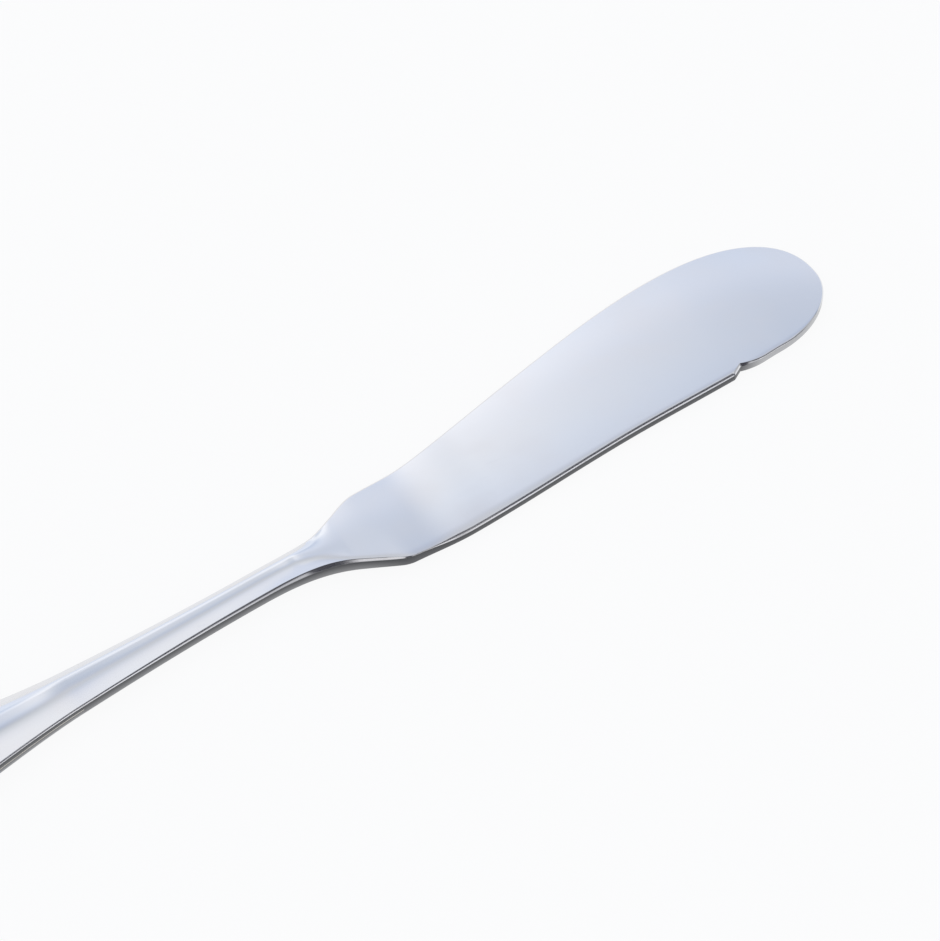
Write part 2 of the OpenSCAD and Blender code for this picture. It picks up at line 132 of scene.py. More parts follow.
class Graph:
    """A node tree that is being built."""

    # Numbers of a Mix node's sockets for colours
    MIX_FACTOR, MIX_FIRST, MIX_SECOND, MIX_RESULT = 0, 6, 7, 2

    def __init__(self, tree: bpy.types.NodeTree) -> None:
        """Takes a tree and clears it."""
        self.tree = tree
        tree.nodes.clear()

    def add(
        self,
        kind: str,
        settings: Optional[dict[str, Any]] = None,
        inputs: Optional[dict[Union[str, int], Any]] = None,
    ) -> bpy.types.Node:
        """Adds one node.

        Args:
            kind: the node's type.
            settings: its properties, set first; "stops" are a ramp's places and colours.
            inputs: values or wires for its input sockets, by name or number.

        Returns:
            The node.
        """
        node = self.tree.nodes.new(kind)
        for name, setting in (settings or {}).items():
            if name == "stops":
                self._set_stops(node.color_ramp, setting)
            else:
                setattr(node, name, setting)
        for key, value in (inputs or {}).items():
            if isinstance(value, Wire):
                self.tree.links.new(value.socket, node.inputs[key])
            else:
                node.inputs[key].default_value = value
        return node

    @staticmethod
    def _set_stops(ramp: bpy.types.ColorRamp, stops: Sequence[tuple[float, Colour]]) -> None:
        """Gives a ramp its stops, in rising order.

        Args:
            ramp: the ramp.
            stops: places from 0 to 1 with their colours.
        """
        while len(ramp.elements) < len(stops):
            ramp.elements.new(1.0)
        for element, (place, colour) in zip(ramp.elements, stops):
            element.position = place
            element.color = (*colour, 1.0)

    def wire(self, node: bpy.types.Node, output: Union[str, int] = 0) -> Wire:
        """The wire from one output of a node."""
        return Wire(self, node.outputs[output])

    def out(self, kind: str, settings: Optional[dict[str, Any]] = None,
            inputs: Optional[dict[Union[str, int], Any]] = None, output: Union[str, int] = 0) -> Wire:
        """Adds a node and returns the wire from one of its outputs."""
        return self.wire(self.add(kind, settings, inputs), output)

    def maths(self, operation: str, *operands: Value) -> Wire:
        """Adds one Math node.

        Args:
            operation: the node's operation.
            operands: numbers or wires.

        Returns:
            The wire of the result.
        """
        return self.out("ShaderNodeMath", {"operation": operation}, dict(enumerate(operands)))

    def choose(self, test: Wire, yes: Value, no: Value) -> Wire:
        """yes where the test is one, no where it is nought."""
        return test * yes + (1 - test) * no

    def share(self, value: Wire) -> Wire:
        """The value, held between 0 and 1."""
        return self.maths("MINIMUM", self.maths("MAXIMUM", value, 0.0), 1.0)

    def smooth_step(self, value: Value, none: float, full: float) -> Wire:
        """Eases from 0 where the value is none to 1 where it is full, which may be the lower of the two."""
        if full < none:
            return 1 - self.smooth_step(value, full, none)
        return self.out(
            "ShaderNodeMapRange", {"interpolation_type": "SMOOTHSTEP"},
            {"Value": value, "From Min": none, "From Max": full, "To Min": 0.0, "To Max": 1.0})

    def mix_colours(
        self, factor: Value, a: Union[Wire, Colour], b: Union[Wire, Colour], blend: str = "MIX",
    ) -> Wire:
        """Mixes two colours.

        Args:
            factor: share of the second colour.
            a: first colour.
            b: second colour.
            blend: how the second colour is laid on the first.

        Returns:
            The wire of the mixed colour.
        """
        first = a if isinstance(a, Wire) else (*a, 1.0)
        second = b if isinstance(b, Wire) else (*b, 1.0)
        return self.out(
            "ShaderNodeMix", {"data_type": "RGBA", "blend_type": blend},
            {self.MIX_FACTOR: factor, self.MIX_FIRST: first, self.MIX_SECOND: second}, output=self.MIX_RESULT)


# Finishes


@dataclass(frozen=True)
class Noise:
    """Noise drawn out along one direction of a piece.

    scale counts the features per metre along X, Y and Z, detail the octaves, and rough says how strong the
    finer ones are. turn is the pattern's turn about Z in radians.
    """

    scale: tuple[float, float, float]
    detail: float
    rough: float
    turn: float = 0.0

    def wire(self, graph: Graph) -> Wire:
        """The noise in a material's graph, around NOISE_MIDDLE."""
        place = graph.out("ShaderNodeTexCoord", output="Object")
        turned = graph.out("ShaderNodeMapping", None, {"Vector": place, "Rotation": (0.0, 0.0, self.turn)})
        drawn = graph.out("ShaderNodeMapping", None, {"Vector": turned, "Scale": self.scale})
        return graph.out(
            "ShaderNodeTexNoise", None,
            {"Vector": drawn, "Scale": 1.0, "Detail": self.detail, "Roughness": self.rough}, output="Fac")


class Finish:
    """A surface finish that makes its own material."""

    name: str

    def material(self) -> bpy.types.Material:
        """The finish as a material, made once.

        Returns:
            The material.
        """
        found = bpy.data.materials.get(self.name)
        if found:
            return found
        made = bpy.data.materials.new(self.name)
        made.use_nodes = True
        self.paint(Graph(made.node_tree))
        return made

    def paint(self, graph: Graph) -> None:
        """Builds the finish's nodes in an empty graph."""
        raise NotImplementedError


@dataclass(frozen=True)
class PolishedSteel(Finish):
    """Stainless steel, polished lengthwise and handled a little."""

    name: str
    colour: Colour = (0.790, 0.800, 0.830)
    warm_colour: Colour = (0.800, 0.796, 0.812)
    roughness: float = 0.10
    hairline_share: float = 0.04
    smudge_share: float = 0.035
    scratch_share: float = 0.10
    bump_height: float = mm(0.0006)
    # Painted shade: a near-black colour laid on the side walls in place of the dark they mirror
    ground_colour: Colour = (0.060, 0.062, 0.068)
    ground_roughness: float = 0.30
    hairlines: Noise = Noise(scale=(60.0, 5200.0, 5200.0), detail=3.0, rough=0.6)
    smudges: Noise = Noise(scale=(70.0, 120.0, 120.0), detail=3.0, rough=0.55, turn=0.5)
    strokes: Noise = Noise(scale=(160.0, 4200.0, 900.0), detail=2.0, rough=0.5, turn=0.21)
    warm_span: Span = (0.35, 0.7)
    smudge_span: Span = (0.4, 0.75)
    scratch_span: Span = (0.70, 0.78)
    scratch_depth: float = 1.5

    def paint(self, graph: Graph) -> None:
        """Builds hairlines, soft smudges, a few fine scratches, and side walls that are rougher and darkened
        with painted shade.
        """
        ground = graph.out("ShaderNodeAttribute", {"attribute_name": GROUND_AND_SHADE}, output="Fac")
        hairlines = self.hairlines.wire(graph)
        smudges = self.smudges.wire(graph)
        scratches = graph.smooth_step(self.strokes.wire(graph), *self.scratch_span)
        polished = graph.mix_colours(
            graph.smooth_step(smudges, *self.warm_span), self.colour, self.warm_colour)
        # Painted shade: the mask darkens the side walls' colour towards ground_colour
        tint = graph.mix_colours(ground, polished, self.ground_colour)
        roughness = (
            self.roughness
            + ground * self.ground_roughness
            + (hairlines - NOISE_MIDDLE) * self.hairline_share
            + graph.smooth_step(smudges, *self.smudge_span) * self.smudge_share
            + scratches * self.scratch_share)
        height = hairlines - scratches * self.scratch_depth
        bump = graph.out(
            "ShaderNodeBump", None,
            {"Strength": 1.0, "Distance": self.bump_height, "Height": height})
        shader = graph.out(
            "ShaderNodeBsdfPrincipled", None,
            {"Base Color": tint, "Metallic": 1.0, "Roughness": roughness, "Normal": bump})
        graph.add("ShaderNodeOutputMaterial", None, {"Surface": shader})


@dataclass(frozen=True)
class SilverBraze(Finish):
    """Silver braze, ground flush with the shells and polished with them."""

    name: str
    colour: Colour = (0.770, 0.735, 0.660)
    dull_colour: Colour = (0.640, 0.600, 0.520)
    roughness: float = 0.24
    mottle_share: float = 0.14
    mottle: Noise = Noise(scale=(900.0, 1600.0, 1600.0), detail=3.0, rough=0.6)
    dull_span: Span = (0.4, 0.65)

    def paint(self, graph: Graph) -> None:
        """Builds a mottled warm metal."""
        mottle = self.mottle.wire(graph)
        dull = graph.smooth_step(mottle, *self.dull_span)
        shader = graph.out(
            "ShaderNodeBsdfPrincipled", None,
            {
                "Base Color": graph.mix_colours(dull, self.colour, self.dull_colour),
                "Metallic": 1.0,
                "Roughness": self.roughness + (mottle - NOISE_MIDDLE) * self.mottle_share,
            })
        graph.add("ShaderNodeOutputMaterial", None, {"Surface": shader})


@dataclass(frozen=True)
class CastResin(Finish):
    """Filler resin, cast round the tang."""

    name: str
    colour: Colour = (0.300, 0.190, 0.080)
    pale_colour: Colour = (0.420, 0.300, 0.150)
    roughness: float = 0.55
    cloud_share: float = 0.2
    clouds: Noise = Noise(scale=(300.0, 300.0, 300.0), detail=4.0, rough=0.6)
    grain: Noise = Noise(scale=(4000.0, 4000.0, 4000.0), detail=2.0, rough=0.5)
    bump_strength: float = 0.5
    bump_height: float = mm(0.05)

    def paint(self, graph: Graph) -> None:
        """Builds a cloudy resin with fine bubbles."""
        clouds = self.clouds.wire(graph)
        bump = graph.out(
            "ShaderNodeBump", None,
            {"Strength": self.bump_strength, "Distance": self.bump_height, "Height": self.grain.wire(graph)})
        shader = graph.out(
            "ShaderNodeBsdfPrincipled", None,
            {
                "Base Color": graph.mix_colours(clouds, self.colour, self.pale_colour),
                "Roughness": self.roughness + (clouds - NOISE_MIDDLE) * self.cloud_share,
                "Normal": bump,
            })
        graph.add("ShaderNodeOutputMaterial", None, {"Surface": shader})


@dataclass(frozen=True)
class StudioFloor(Finish):
    """White table that shows as white and still takes a soft shadow."""

    name: str
    colour: Colour = (0.90, 0.905, 0.915)
    white: Colour = (1.0, 1.0, 1.0)
    white_share: float = 0.91

    def paint(self, graph: Graph) -> None:
        """Builds a pale table that camera and mirror rays see partly as plain white."""
        path = graph.add("ShaderNodeLightPath")
        camera, glossy, through = (
            graph.wire(path, f"Is {kind} Ray") for kind in ("Camera", "Glossy", "Transmission"))
        seen = graph.maths("MAXIMUM", camera, graph.maths("MAXIMUM", glossy, through))
        table = graph.out("ShaderNodeBsdfDiffuse", None, {"Color": (*self.colour, 1.0)})
        white = graph.out("ShaderNodeEmission", None, {"Color": (*self.white, 1.0), "Strength": 1.0})
        shown = graph.out("ShaderNodeMixShader", None, {0: seen * self.white_share, 1: table, 2: white})
        graph.add("ShaderNodeOutputMaterial", None, {"Surface": shown})


# Shape of the knife


class Knot(NamedTuple):
    """A place on a curve, with its value there and its own slope if it has one."""

    x: float
    value: float
    slope: Optional[float] = None


@dataclass(frozen=True)
class SmoothCurve:
    """Cubic curve through knots, level beyond its ends."""

    knots: tuple[Knot, ...]

    def slope(self, i: int) -> float:
        """Slope at a knot: its own, or that between its neighbours.

        Args:
            i: number of the knot.

        Returns:
            The slope.
        """
        if self.knots[i].slope is not None:
            return self.knots[i].slope
        before = self.knots[max(i - 1, 0)]
        after = self.knots[min(i + 1, len(self.knots) - 1)]
        return (after.value - before.value) / (after.x - before.x)

    def at(self, x: np.ndarray) -> np.ndarray:
        """Values of the curve.

        Args:
            x: places along the knife.

        Returns:
            The value at each place.
        """
        places = np.array([k.x for k in self.knots])
        values = np.array([k.value for k in self.knots])
        slopes = np.array([self.slope(i) for i in range(len(self.knots))])
        i = np.clip(np.searchsorted(places, x, side="right") - 1, 0, len(places) - 2)
        run = places[i + 1] - places[i]
        t = np.clip((x - places[i]) / run, 0.0, 1.0)
        rise = values[i + 1] - values[i]
        ease = slopes[i] * t * (1 - t) ** 2 - slopes[i + 1] * t ** 2 * (1 - t)
        return values[i] + rise * (3 - 2 * t) * t * t + run * ease


@dataclass(frozen=True)
class KnifeSizes:
    """Driving sizes of the knife.

    The plan and the construction are as in the CAD source. The heights, roll-off, crest, arrises and
    grind-finished side walls, darkened with painted shade, are finer here, because reflections show them.
    """

    # Blade in plan
    blade_len: float = mm(76.5)
    spine_rise: float = mm(12.25)
    spine_peak_back: float = mm(21.4)
    spine_mid_rise: float = mm(9.35)
    spine_mid_ahead: float = mm(30)
    spine_start_rise: float = mm(5.6)
    spine_start_ahead: float = mm(8)
    shoulder_rise: float = mm(5.2)
    shoulder_back: float = mm(1.2)
    heel_depth: float = mm(8.05)
    heel_round: float = mm(1.1)
    belly_depth: float = mm(8.85)
    belly_ahead: float = mm(10.5)
    hollow_depth: float = mm(8.1)
    hollow_ahead: float = mm(40)
    lip_depth: float = mm(8.28)
    tip_depth: float = mm(8)
    tip_round_back: float = mm(11.9)
    tip_drop: float = mm(0.1)
    tip_fullness: float = 2.3
    low_fullness: float = 2.05
    # Nick in the edge
    nick_back: float = mm(20.3)
    nick_depth: float = mm(0.75)
    nick_rise_len: float = mm(1.5)
    nick_fall_len: float = mm(4)
    # Heights of the blade's face
    edge_t: float = mm(1.72)
    spine_t: float = mm(1.5)
    blade_crown: float = mm(0.3)
    ricasso_t: float = mm(2.61)
    ricasso_back: float = mm(6.5)
    ricasso_ahead: float = mm(3.2)
    heel_t: float = mm(1.93)
    root_t: float = mm(1.72)
    root_ahead: float = mm(17)
    # Roll-off from the blade's face into its edge
    flank_roll: float = mm(0.9)
    belly_roll: float = mm(1.3)
    hollow_roll: float = mm(0.6)
    tip_roll: float = mm(0.1)
    roll_slope: float = 0.09
    # Neck and handle in plan
    neck_len: float = mm(50.5)
    neck_end_back: float = mm(15)
    waist_back: float = mm(21)
    waist_w: float = mm(4.5)
    mouth_w: float = mm(6.4)
    flare_back: float = mm(11.2)
    flare_pinch: float = mm(0.12)
    flare_mid_back: float = mm(6)
    flare_mid_rise: float = mm(3.6)
    flank_back: float = mm(6)
    flank_depth: float = mm(4.95)
    handle_len: float = mm(45)
    handle_w: float = mm(13)
    handle_peak_ahead: float = mm(12)
    butt_fullness: float = 2.2
    # Heights, crown and crest of the neck and handle
    waist_t: float = mm(2.55)
    mouth_t: float = mm(2.75)
    handle_t: float = mm(3.4)
    neck_end_t: float = mm(2.55)
    waist_crown: float = mm(0.78)
    neck_end_crown: float = mm(0.76)
    mouth_crown: float = mm(0.95)
    handle_crown: float = mm(2.9)
    mouth_crest_y: float = mm(0.85)
    waist_crest_y: float = mm(0.46)
    neck_end_crest_y: float = mm(0.42)
    ricasso_crest_y: float = mm(0.6)
    ridge_turn: float = 0.48
    # Arrises, from the face into the side walls
    face_round: float = mm(0.28)
    edge_arris: float = mm(0.44)
    neck_arris: float = mm(0.42)
    flare_arris: float = mm(0.5)
    flank_arris: float = mm(0.36)
    heel_arris: float = mm(0.1)
    heel_arris_ahead: float = mm(2.2)
    belly_arris_ahead: float = mm(8)
    lip_arris: float = mm(0.2)
    tip_arris: float = mm(0.15)
    arris_fullness: float = 1.05
    # Underside and its roundings
    neck_lift: float = mm(0.15)
    ground_off: float = mm(0.12)
    blade_under_round: float = mm(0.3)
    handle_under_round: float = mm(0.75)
    neck_under_round: float = mm(0.45)
    # Shares of the surface that is grind-finished and darkened with painted shade
    under_ground: float = 0.35
    neck_wall_ground: float = 0.74
    blade_wall_ground: float = 0.92
    wall_share: float = 0.30
    lip_ground: float = 0.5
    tip_ground: float = 0.5
    # Shells, braze, spigot and tang
    shell_wall: float = mm(0.6)
    braze_t: float = mm(0.12)
    spigot_len: float = mm(6.5)
    tang_len: float = mm(31)
    tang_w: float = mm(2.8)
    tang_end_w: float = mm(2.2)
    tang_t: float = mm(1.4)
    notch_count: int = 3
    notch_depth: float = mm(0.45)
    notch_len: float = mm(1.6)
    notch_slope: float = mm(0.6)
    fit_gap: float = mm(0.05)
    # Slopes of the curves at their knots
    flare_mid_slope: float = 0.4
    shoulder_slope: float = 0.06
    spine_start_slope: float = 0.14
    spine_mid_slope: float = 0.165
    flank_start_slope: float = -0.5
    mouth_slope: float = -0.055
    mouth_top_slope: float = -0.006
    mouth_crown_slope: float = -0.004
    neck_end_fall: float = 0.0
    ricasso_fall: float = -0.074
    heel_fall: float = -0.070

    @property
    def tip_x(self) -> float:
        """Place of the tip."""
        return self.blade_len

    @property
    def spine_peak_x(self) -> float:
        """Place of the spine's widest part."""
        return self.tip_x - self.spine_peak_back

    @property
    def tip_round_x(self) -> float:
        """Place where the tip's lower rounding begins."""
        return self.tip_x - self.tip_round_back

    @property
    def nick_x(self) -> float:
        """Place where the nick begins."""
        return self.tip_x - self.nick_back

    @property
    def nick_top_x(self) -> float:
        """Place where the nick is deepest."""
        return self.nick_x + self.nick_rise_len

    @property
    def nick_end_x(self) -> float:
        """Place where the nick ends."""
        return self.nick_top_x + self.nick_fall_len

    @property
    def waist_x(self) -> float:
        """Place of the neck's waist."""
        return -self.waist_back

    @property
    def mouth_x(self) -> float:
        """Place of the handle's mouth."""
        return -self.neck_len

    @property
    def butt_x(self) -> float:
        """Place of the butt's end."""
        return self.mouth_x - self.handle_len

    @property
    def handle_peak_x(self) -> float:
        """Place where the handle is widest."""
        return self.butt_x + self.handle_peak_ahead

    @property
    def spigot_x(self) -> float:
        """Place of the spigot's end."""
        return self.mouth_x - self.spigot_len

    @property
    def tang_x(self) -> float:
        """Place of the tang's end."""
        return self.mouth_x - self.tang_len

    @property
    def notch_places(self) -> list[float]:
        """Places of the tang's notches, from the spigot on."""
        pitch = (self.tang_len - self.spigot_len) / (self.notch_count + 1)
        return [self.spigot_x - k * pitch for k in range(1, self.notch_count + 1)]

    @property
    def tilt_power(self) -> float:
        """Power that turns the slope of an arris into the parameter of its curve."""
        return self.arris_fullness / (2 * (self.arris_fullness - 1))

    @property
    def ridge_drop(self) -> float:
        """Fall of the ridge from its crest to the arris, before it is scaled."""
        return (1 - self.ridge_turn) / 2

    @property
    def seam_z(self) -> float:
        """Height of the seam between the shells."""
        return (self.neck_lift / 2 + self.handle_under_round + self.mouth_t - self.face_round) / 2

    @property
    def tang_z(self) -> float:
        """Height of the tang's middle."""
        return (self.neck_lift / 2 + self.mouth_t) / 2 + self.mouth_crown / 4

    @property
    def shift(self) -> Vector:
        """Move from the drawing's frame to the frame of the part."""
        low = -max(self.belly_depth, self.hollow_depth, self.lip_depth, self.tip_depth, self.handle_w / 2)
        high = max(self.spine_rise, self.handle_w / 2)
        return Vector((-(self.tip_x + self.butt_x) / 2, -(high + low) / 2, 0.0))


def rounded_share(fraction: np.ndarray, fullness: float) -> np.ndarray:
    """Share of the full width that is left on the way to a rounded end.

    Args:
        fraction: fraction of the way to the end.
        fullness: exponent of the curve, 2 being an ellipse.

    Returns:
        The share at each fraction.
    """
    return np.maximum(1 - np.clip(fraction, 0, 1) ** fullness, 0) ** (1 / fullness)


class Outline:
    """Plan outline and heights of the knife along X."""

    SLOPE_STEP = mm(0.0005)
    LEAST_END = mm(0.001)
    TILT_STEP = 0.001
    CREST_RANGE = (0.2, 0.8)

    def __init__(self, sizes: KnifeSizes) -> None:
        """Lays the curves through their knots."""
        s = sizes
        self.sizes = s
        flank_slope = -(s.heel_depth - s.flank_depth) / s.flank_back
        belly_slope = -(s.belly_depth - s.heel_depth) / s.belly_ahead
        self.spine_curve = SmoothCurve((
            Knot(s.handle_peak_x, s.handle_w / 2, 0.0),
            Knot(s.mouth_x, s.mouth_w / 2, s.mouth_slope),
            Knot(s.waist_x, s.waist_w / 2, 0.0),
            Knot(-s.flare_back, s.waist_w / 2 - s.flare_pinch, 0.0),
            Knot(-s.flare_mid_back, s.flare_mid_rise, s.flare_mid_slope),
            Knot(-s.shoulder_back, s.shoulder_rise, s.shoulder_slope),
            Knot(s.spine_start_ahead, s.spine_start_rise, s.spine_start_slope),
            Knot(s.spine_mid_ahead, s.spine_mid_rise, s.spine_mid_slope),
            Knot(s.spine_peak_x, s.spine_rise, 0.0),
        ))
        self.edge_curve = SmoothCurve((
            Knot(s.handle_peak_x, -s.handle_w / 2, 0.0),
            Knot(s.mouth_x, -s.mouth_w / 2, -s.mouth_slope),
            Knot(s.waist_x, -s.waist_w / 2, 0.0),
            Knot(-s.flank_back, -s.flank_depth, s.flank_start_slope),
            Knot(-s.heel_round, -s.heel_depth - flank_slope * s.heel_round, flank_slope),
            Knot(s.heel_round, -s.heel_depth + belly_slope * s.heel_round, belly_slope),
            Knot(s.belly_ahead, -s.belly_depth, 0.0),
            Knot(s.hollow_ahead, -s.hollow_depth, 0.0),
            Knot(s.nick_x, -s.lip_depth, 0.0),
            Knot(s.tip_round_x, -s.tip_depth, 0.0),
        ))
        common = (
            Knot(s.handle_peak_x, s.handle_t, 0.0), Knot(s.mouth_x, s.mouth_t, s.mouth_top_slope),
            Knot(s.waist_x, s.waist_t), Knot(-s.neck_end_back, s.neck_end_t, s.neck_end_fall),
            Knot(-s.ricasso_back, s.ricasso_t, s.ricasso_fall), Knot(s.ricasso_ahead, s.heel_t, s.heel_fall),
            Knot(s.root_ahead, s.root_t, 0.0),
        )
        self.edge_top = SmoothCurve((*common, Knot(s.spine_peak_x, s.edge_t, 0.0)))
        self.spine_top = SmoothCurve((*common, Knot(s.spine_peak_x, s.spine_t, 0.0)))
        self.crown_curve = SmoothCurve((
            Knot(s.handle_peak_x, s.handle_crown, 0.0), Knot(s.mouth_x, s.mouth_crown, s.mouth_crown_slope),
            Knot(s.waist_x, s.waist_crown, 0.0), Knot(-s.neck_end_back, s.neck_end_crown),
            Knot(-s.ricasso_back, self.blade_crown(np.array([-s.ricasso_back]))[0], 0.0),
        ))
        self.crest_y = SmoothCurve((
            Knot(s.handle_peak_x, 0.0, 0.0), Knot(s.mouth_x, s.mouth_crest_y, 0.0),
            Knot(s.waist_x, s.waist_crest_y), Knot(-s.neck_end_back, s.neck_end_crest_y),
            Knot(-s.ricasso_back, s.ricasso_crest_y, 0.0),
        ))
        self.under = SmoothCurve((
            Knot(s.handle_peak_x, 0.0), Knot(s.mouth_x, s.neck_lift / 2), Knot(s.waist_x, s.neck_lift),
            Knot(-s.flank_back, -s.ground_off / 2), Knot(s.heel_round, -s.ground_off),
            Knot(s.tip_x, -s.ground_off),
        ))
        self.under_round = SmoothCurve((
            Knot(s.handle_peak_x, s.handle_under_round), Knot(s.mouth_x, s.handle_under_round),
            Knot(s.waist_x, s.neck_under_round), Knot(s.heel_round, s.blade_under_round),
            Knot(s.tip_x, s.blade_under_round),
        ))
        # Reach of the roll-off that leads from the blade's face into its edge arris
        self.edge_roll = SmoothCurve((
            Knot(-s.ricasso_back, s.flank_roll, 0.0), Knot(s.belly_ahead, s.belly_roll, 0.0),
            Knot(s.hollow_ahead, s.hollow_roll, 0.0), Knot(s.tip_round_x, s.hollow_roll, 0.0),
            Knot(s.tip_x, s.tip_roll, 0.0),
        ))
        self.ridge = SmoothCurve((Knot(-s.neck_end_back, 1.0, 0.0), Knot(-s.ricasso_back, 0.0, 0.0)))
        # Reach of the arris along the edge side, thin at the heel and the tip
        self.edge_arris = SmoothCurve((
            Knot(s.mouth_x, s.face_round, 0.0), Knot(s.waist_x, s.neck_arris, 0.0),
            Knot(-s.flare_back, s.flare_arris, 0.0), Knot(-s.flank_back / 2, s.flank_arris, 0.0),
            Knot(s.heel_round, s.heel_arris, 0.0), Knot(s.heel_arris_ahead, s.heel_arris, 0.0),
            Knot(s.belly_arris_ahead, s.edge_arris, 0.0), Knot(s.nick_x, s.edge_arris, 0.0),
            Knot(s.nick_end_x, s.lip_arris, 0.0), Knot(s.tip_x, s.tip_arris, 0.0),
        ))
        self.spine_arris = SmoothCurve((
            Knot(s.mouth_x, s.face_round, 0.0), Knot(s.nick_x, s.face_round, 0.0),
            Knot(s.tip_x, s.tip_arris, 0.0),
        ))

    def nick_lift(self, x: np.ndarray) -> np.ndarray:
        """Lift of the edge inside the nick, at each place."""
        s = self.sizes
        steep = s.nick_depth * (x - s.nick_x) / s.nick_rise_len
        easy = s.nick_depth * ((s.nick_end_x - x) / s.nick_fall_len) ** 2
        lift = np.where(x <= s.nick_top_x, steep, easy)
        return np.where((x <= s.nick_x) | (x >= s.nick_end_x), 0.0, lift)

    def butt_share(self, x: np.ndarray) -> np.ndarray:
        """Share of the handle's width left in the rounding of the butt."""
        s = self.sizes
        return rounded_share((s.handle_peak_x - x) / s.handle_peak_ahead, s.butt_fullness)

    def spine_y(self, x: np.ndarray) -> np.ndarray:
        """Spine side of the outline, at each place."""
        s = self.sizes
        share = rounded_share((x - s.spine_peak_x) / s.spine_peak_back, s.tip_fullness)
        tip = (s.spine_rise + s.tip_drop) * share
        ahead = np.where(x <= s.spine_peak_x, self.spine_curve.at(x), tip - s.tip_drop)
        return np.where(x < s.handle_peak_x, s.handle_w / 2 * self.butt_share(x), ahead)

    def edge_y(self, x: np.ndarray) -> np.ndarray:
        """Edge side of the outline, at each place."""
        s = self.sizes
        share = rounded_share((x - s.tip_round_x) / s.tip_round_back, s.low_fullness)
        tip = (s.tip_drop - s.tip_depth) * share
        ahead = np.where(x <= s.tip_round_x, self.edge_curve.at(x), tip - s.tip_drop) + self.nick_lift(x)
        return np.where(x < s.handle_peak_x, -s.handle_w / 2 * self.butt_share(x), ahead)

    def outward(self, x: np.ndarray, side: int) -> np.ndarray:
        """Outward direction of one side: square to it in the rounded tip, across the knife elsewhere.

        Args:
            x: places along the knife.
            side: 1 for the spine side, -1 for the edge side.

        Returns:
            A plan direction for each place.
        """
        s = self.sizes
        side_y = self.spine_y if side > 0 else self.edge_y
        start = s.spine_peak_x if side > 0 else s.tip_round_x
        slope = (side_y(x + self.SLOPE_STEP) - side_y(x - self.SLOPE_STEP)) / (2 * self.SLOPE_STEP)
        slope = np.where(x <= start, 0.0, slope)
        direction = np.stack([-slope * side, np.full_like(x, side)], axis=1)
        direction /= np.linalg.norm(direction, axis=1, keepdims=True)
        direction[x >= s.tip_x - self.LEAST_END] = (1.0, 0.0)
        return direction

    def blade_crown(self, x: np.ndarray) -> np.ndarray:
        """Crown of the blade, in step with its width and fading towards the tip, at each place."""
        s = self.sizes
        peak = np.array([s.spine_peak_x])
        full = (self.spine_y(peak) - self.edge_y(peak))[0]
        share = (self.spine_y(x) - self.edge_y(x) + self.nick_lift(x)) / full
        return s.blade_crown * np.where(x > s.spine_peak_x, share ** 2, share)

    def crown(self, x: np.ndarray) -> np.ndarray:
        """Crown of the face above the line between its arrises, at each place."""
        return np.where(x > -self.sizes.ricasso_back, self.blade_crown(x), self.crown_curve.at(x))

    def top(self, x: np.ndarray, side: int) -> np.ndarray:
        """Height of the face at one side, which lies in one plane all round the tip.

        Args:
            x: places along the knife.
            side: 1 for the spine side, -1 for the edge side.

        Returns:
            The height at each place.
        """
        s = self.sizes
        curve, start, y = (
            (self.spine_top, s.spine_peak_x, self.spine_y(x)) if side > 0 else
            (self.edge_top, s.tip_round_x, self.edge_y(x)))
        across = (y + s.tip_depth) / (s.spine_rise + s.tip_depth)
        return np.where(x <= start, curve.at(x), s.edge_t + (s.spine_t - s.edge_t) * across)

    def ridge_fall(self, way: np.ndarray) -> np.ndarray:
        """Fall of a soft ridge, which turns into even slopes on both sides of its crest.

        Args:
            way: distances from the crest, as shares of the width.

        Returns:
            The fall at each distance, before it is scaled.
        """
        turn = self.sizes.ridge_turn
        part = np.minimum(way / turn, 1.0)
        return turn * (part ** 3 - part ** 4 / 2) + np.maximum(way - turn, 0.0)

    def bulge(self, x: np.ndarray, v: np.ndarray) -> np.ndarray:
        """Height of the crown above its arrises: a soft ridge on the neck, even on the blade.

        Args:
            x: places along the knife.
            v: places across the face, from the edge side at 0 to the spine side at 1.

        Returns:
            The height by place and step.
        """
        edge, spine = self.edge_y(x)[:, None], self.spine_y(x)[:, None]
        width = spine - edge + self.LEAST_END
        crest = np.clip((self.crest_y.at(x)[:, None] - edge) / width, *self.CREST_RANGE)
        way = np.where(v < crest, (crest - v) / crest, (v - crest) / (1 - crest)) / 2
        ridge = 1 - self.ridge_fall(way) / self.sizes.ridge_drop
        share = self.ridge.at(x)[:, None]
        reach = self.edge_roll.at(x)[:, None]
        roll = self.sizes.roll_slope * reach / 2 * np.maximum(1 - v * (spine - edge) / reach, 0.0) ** 2
        return self.crown(x)[:, None] * (share * ridge + (1 - share) * 4 * v * (1 - v)) - (1 - share) * roll

    def face_tilt(self, x: np.ndarray, side: int) -> np.ndarray:
        """Tilt of the crowned face where it meets the arris of one side, in radians."""
        arrises = self.edge_arris.at(x) + self.spine_arris.at(x)
        width = np.maximum(self.spine_y(x) - self.edge_y(x), self.sizes.waist_w) - arrises
        rim = np.full((len(x), 1), 0.0 if side < 0 else 1.0)
        inner = np.abs(rim - self.TILT_STEP)
        rise = np.maximum(self.bulge(x, inner) - self.bulge(x, rim), 0.0)[:, 0]
        return np.arctan(rise / (self.TILT_STEP * width))


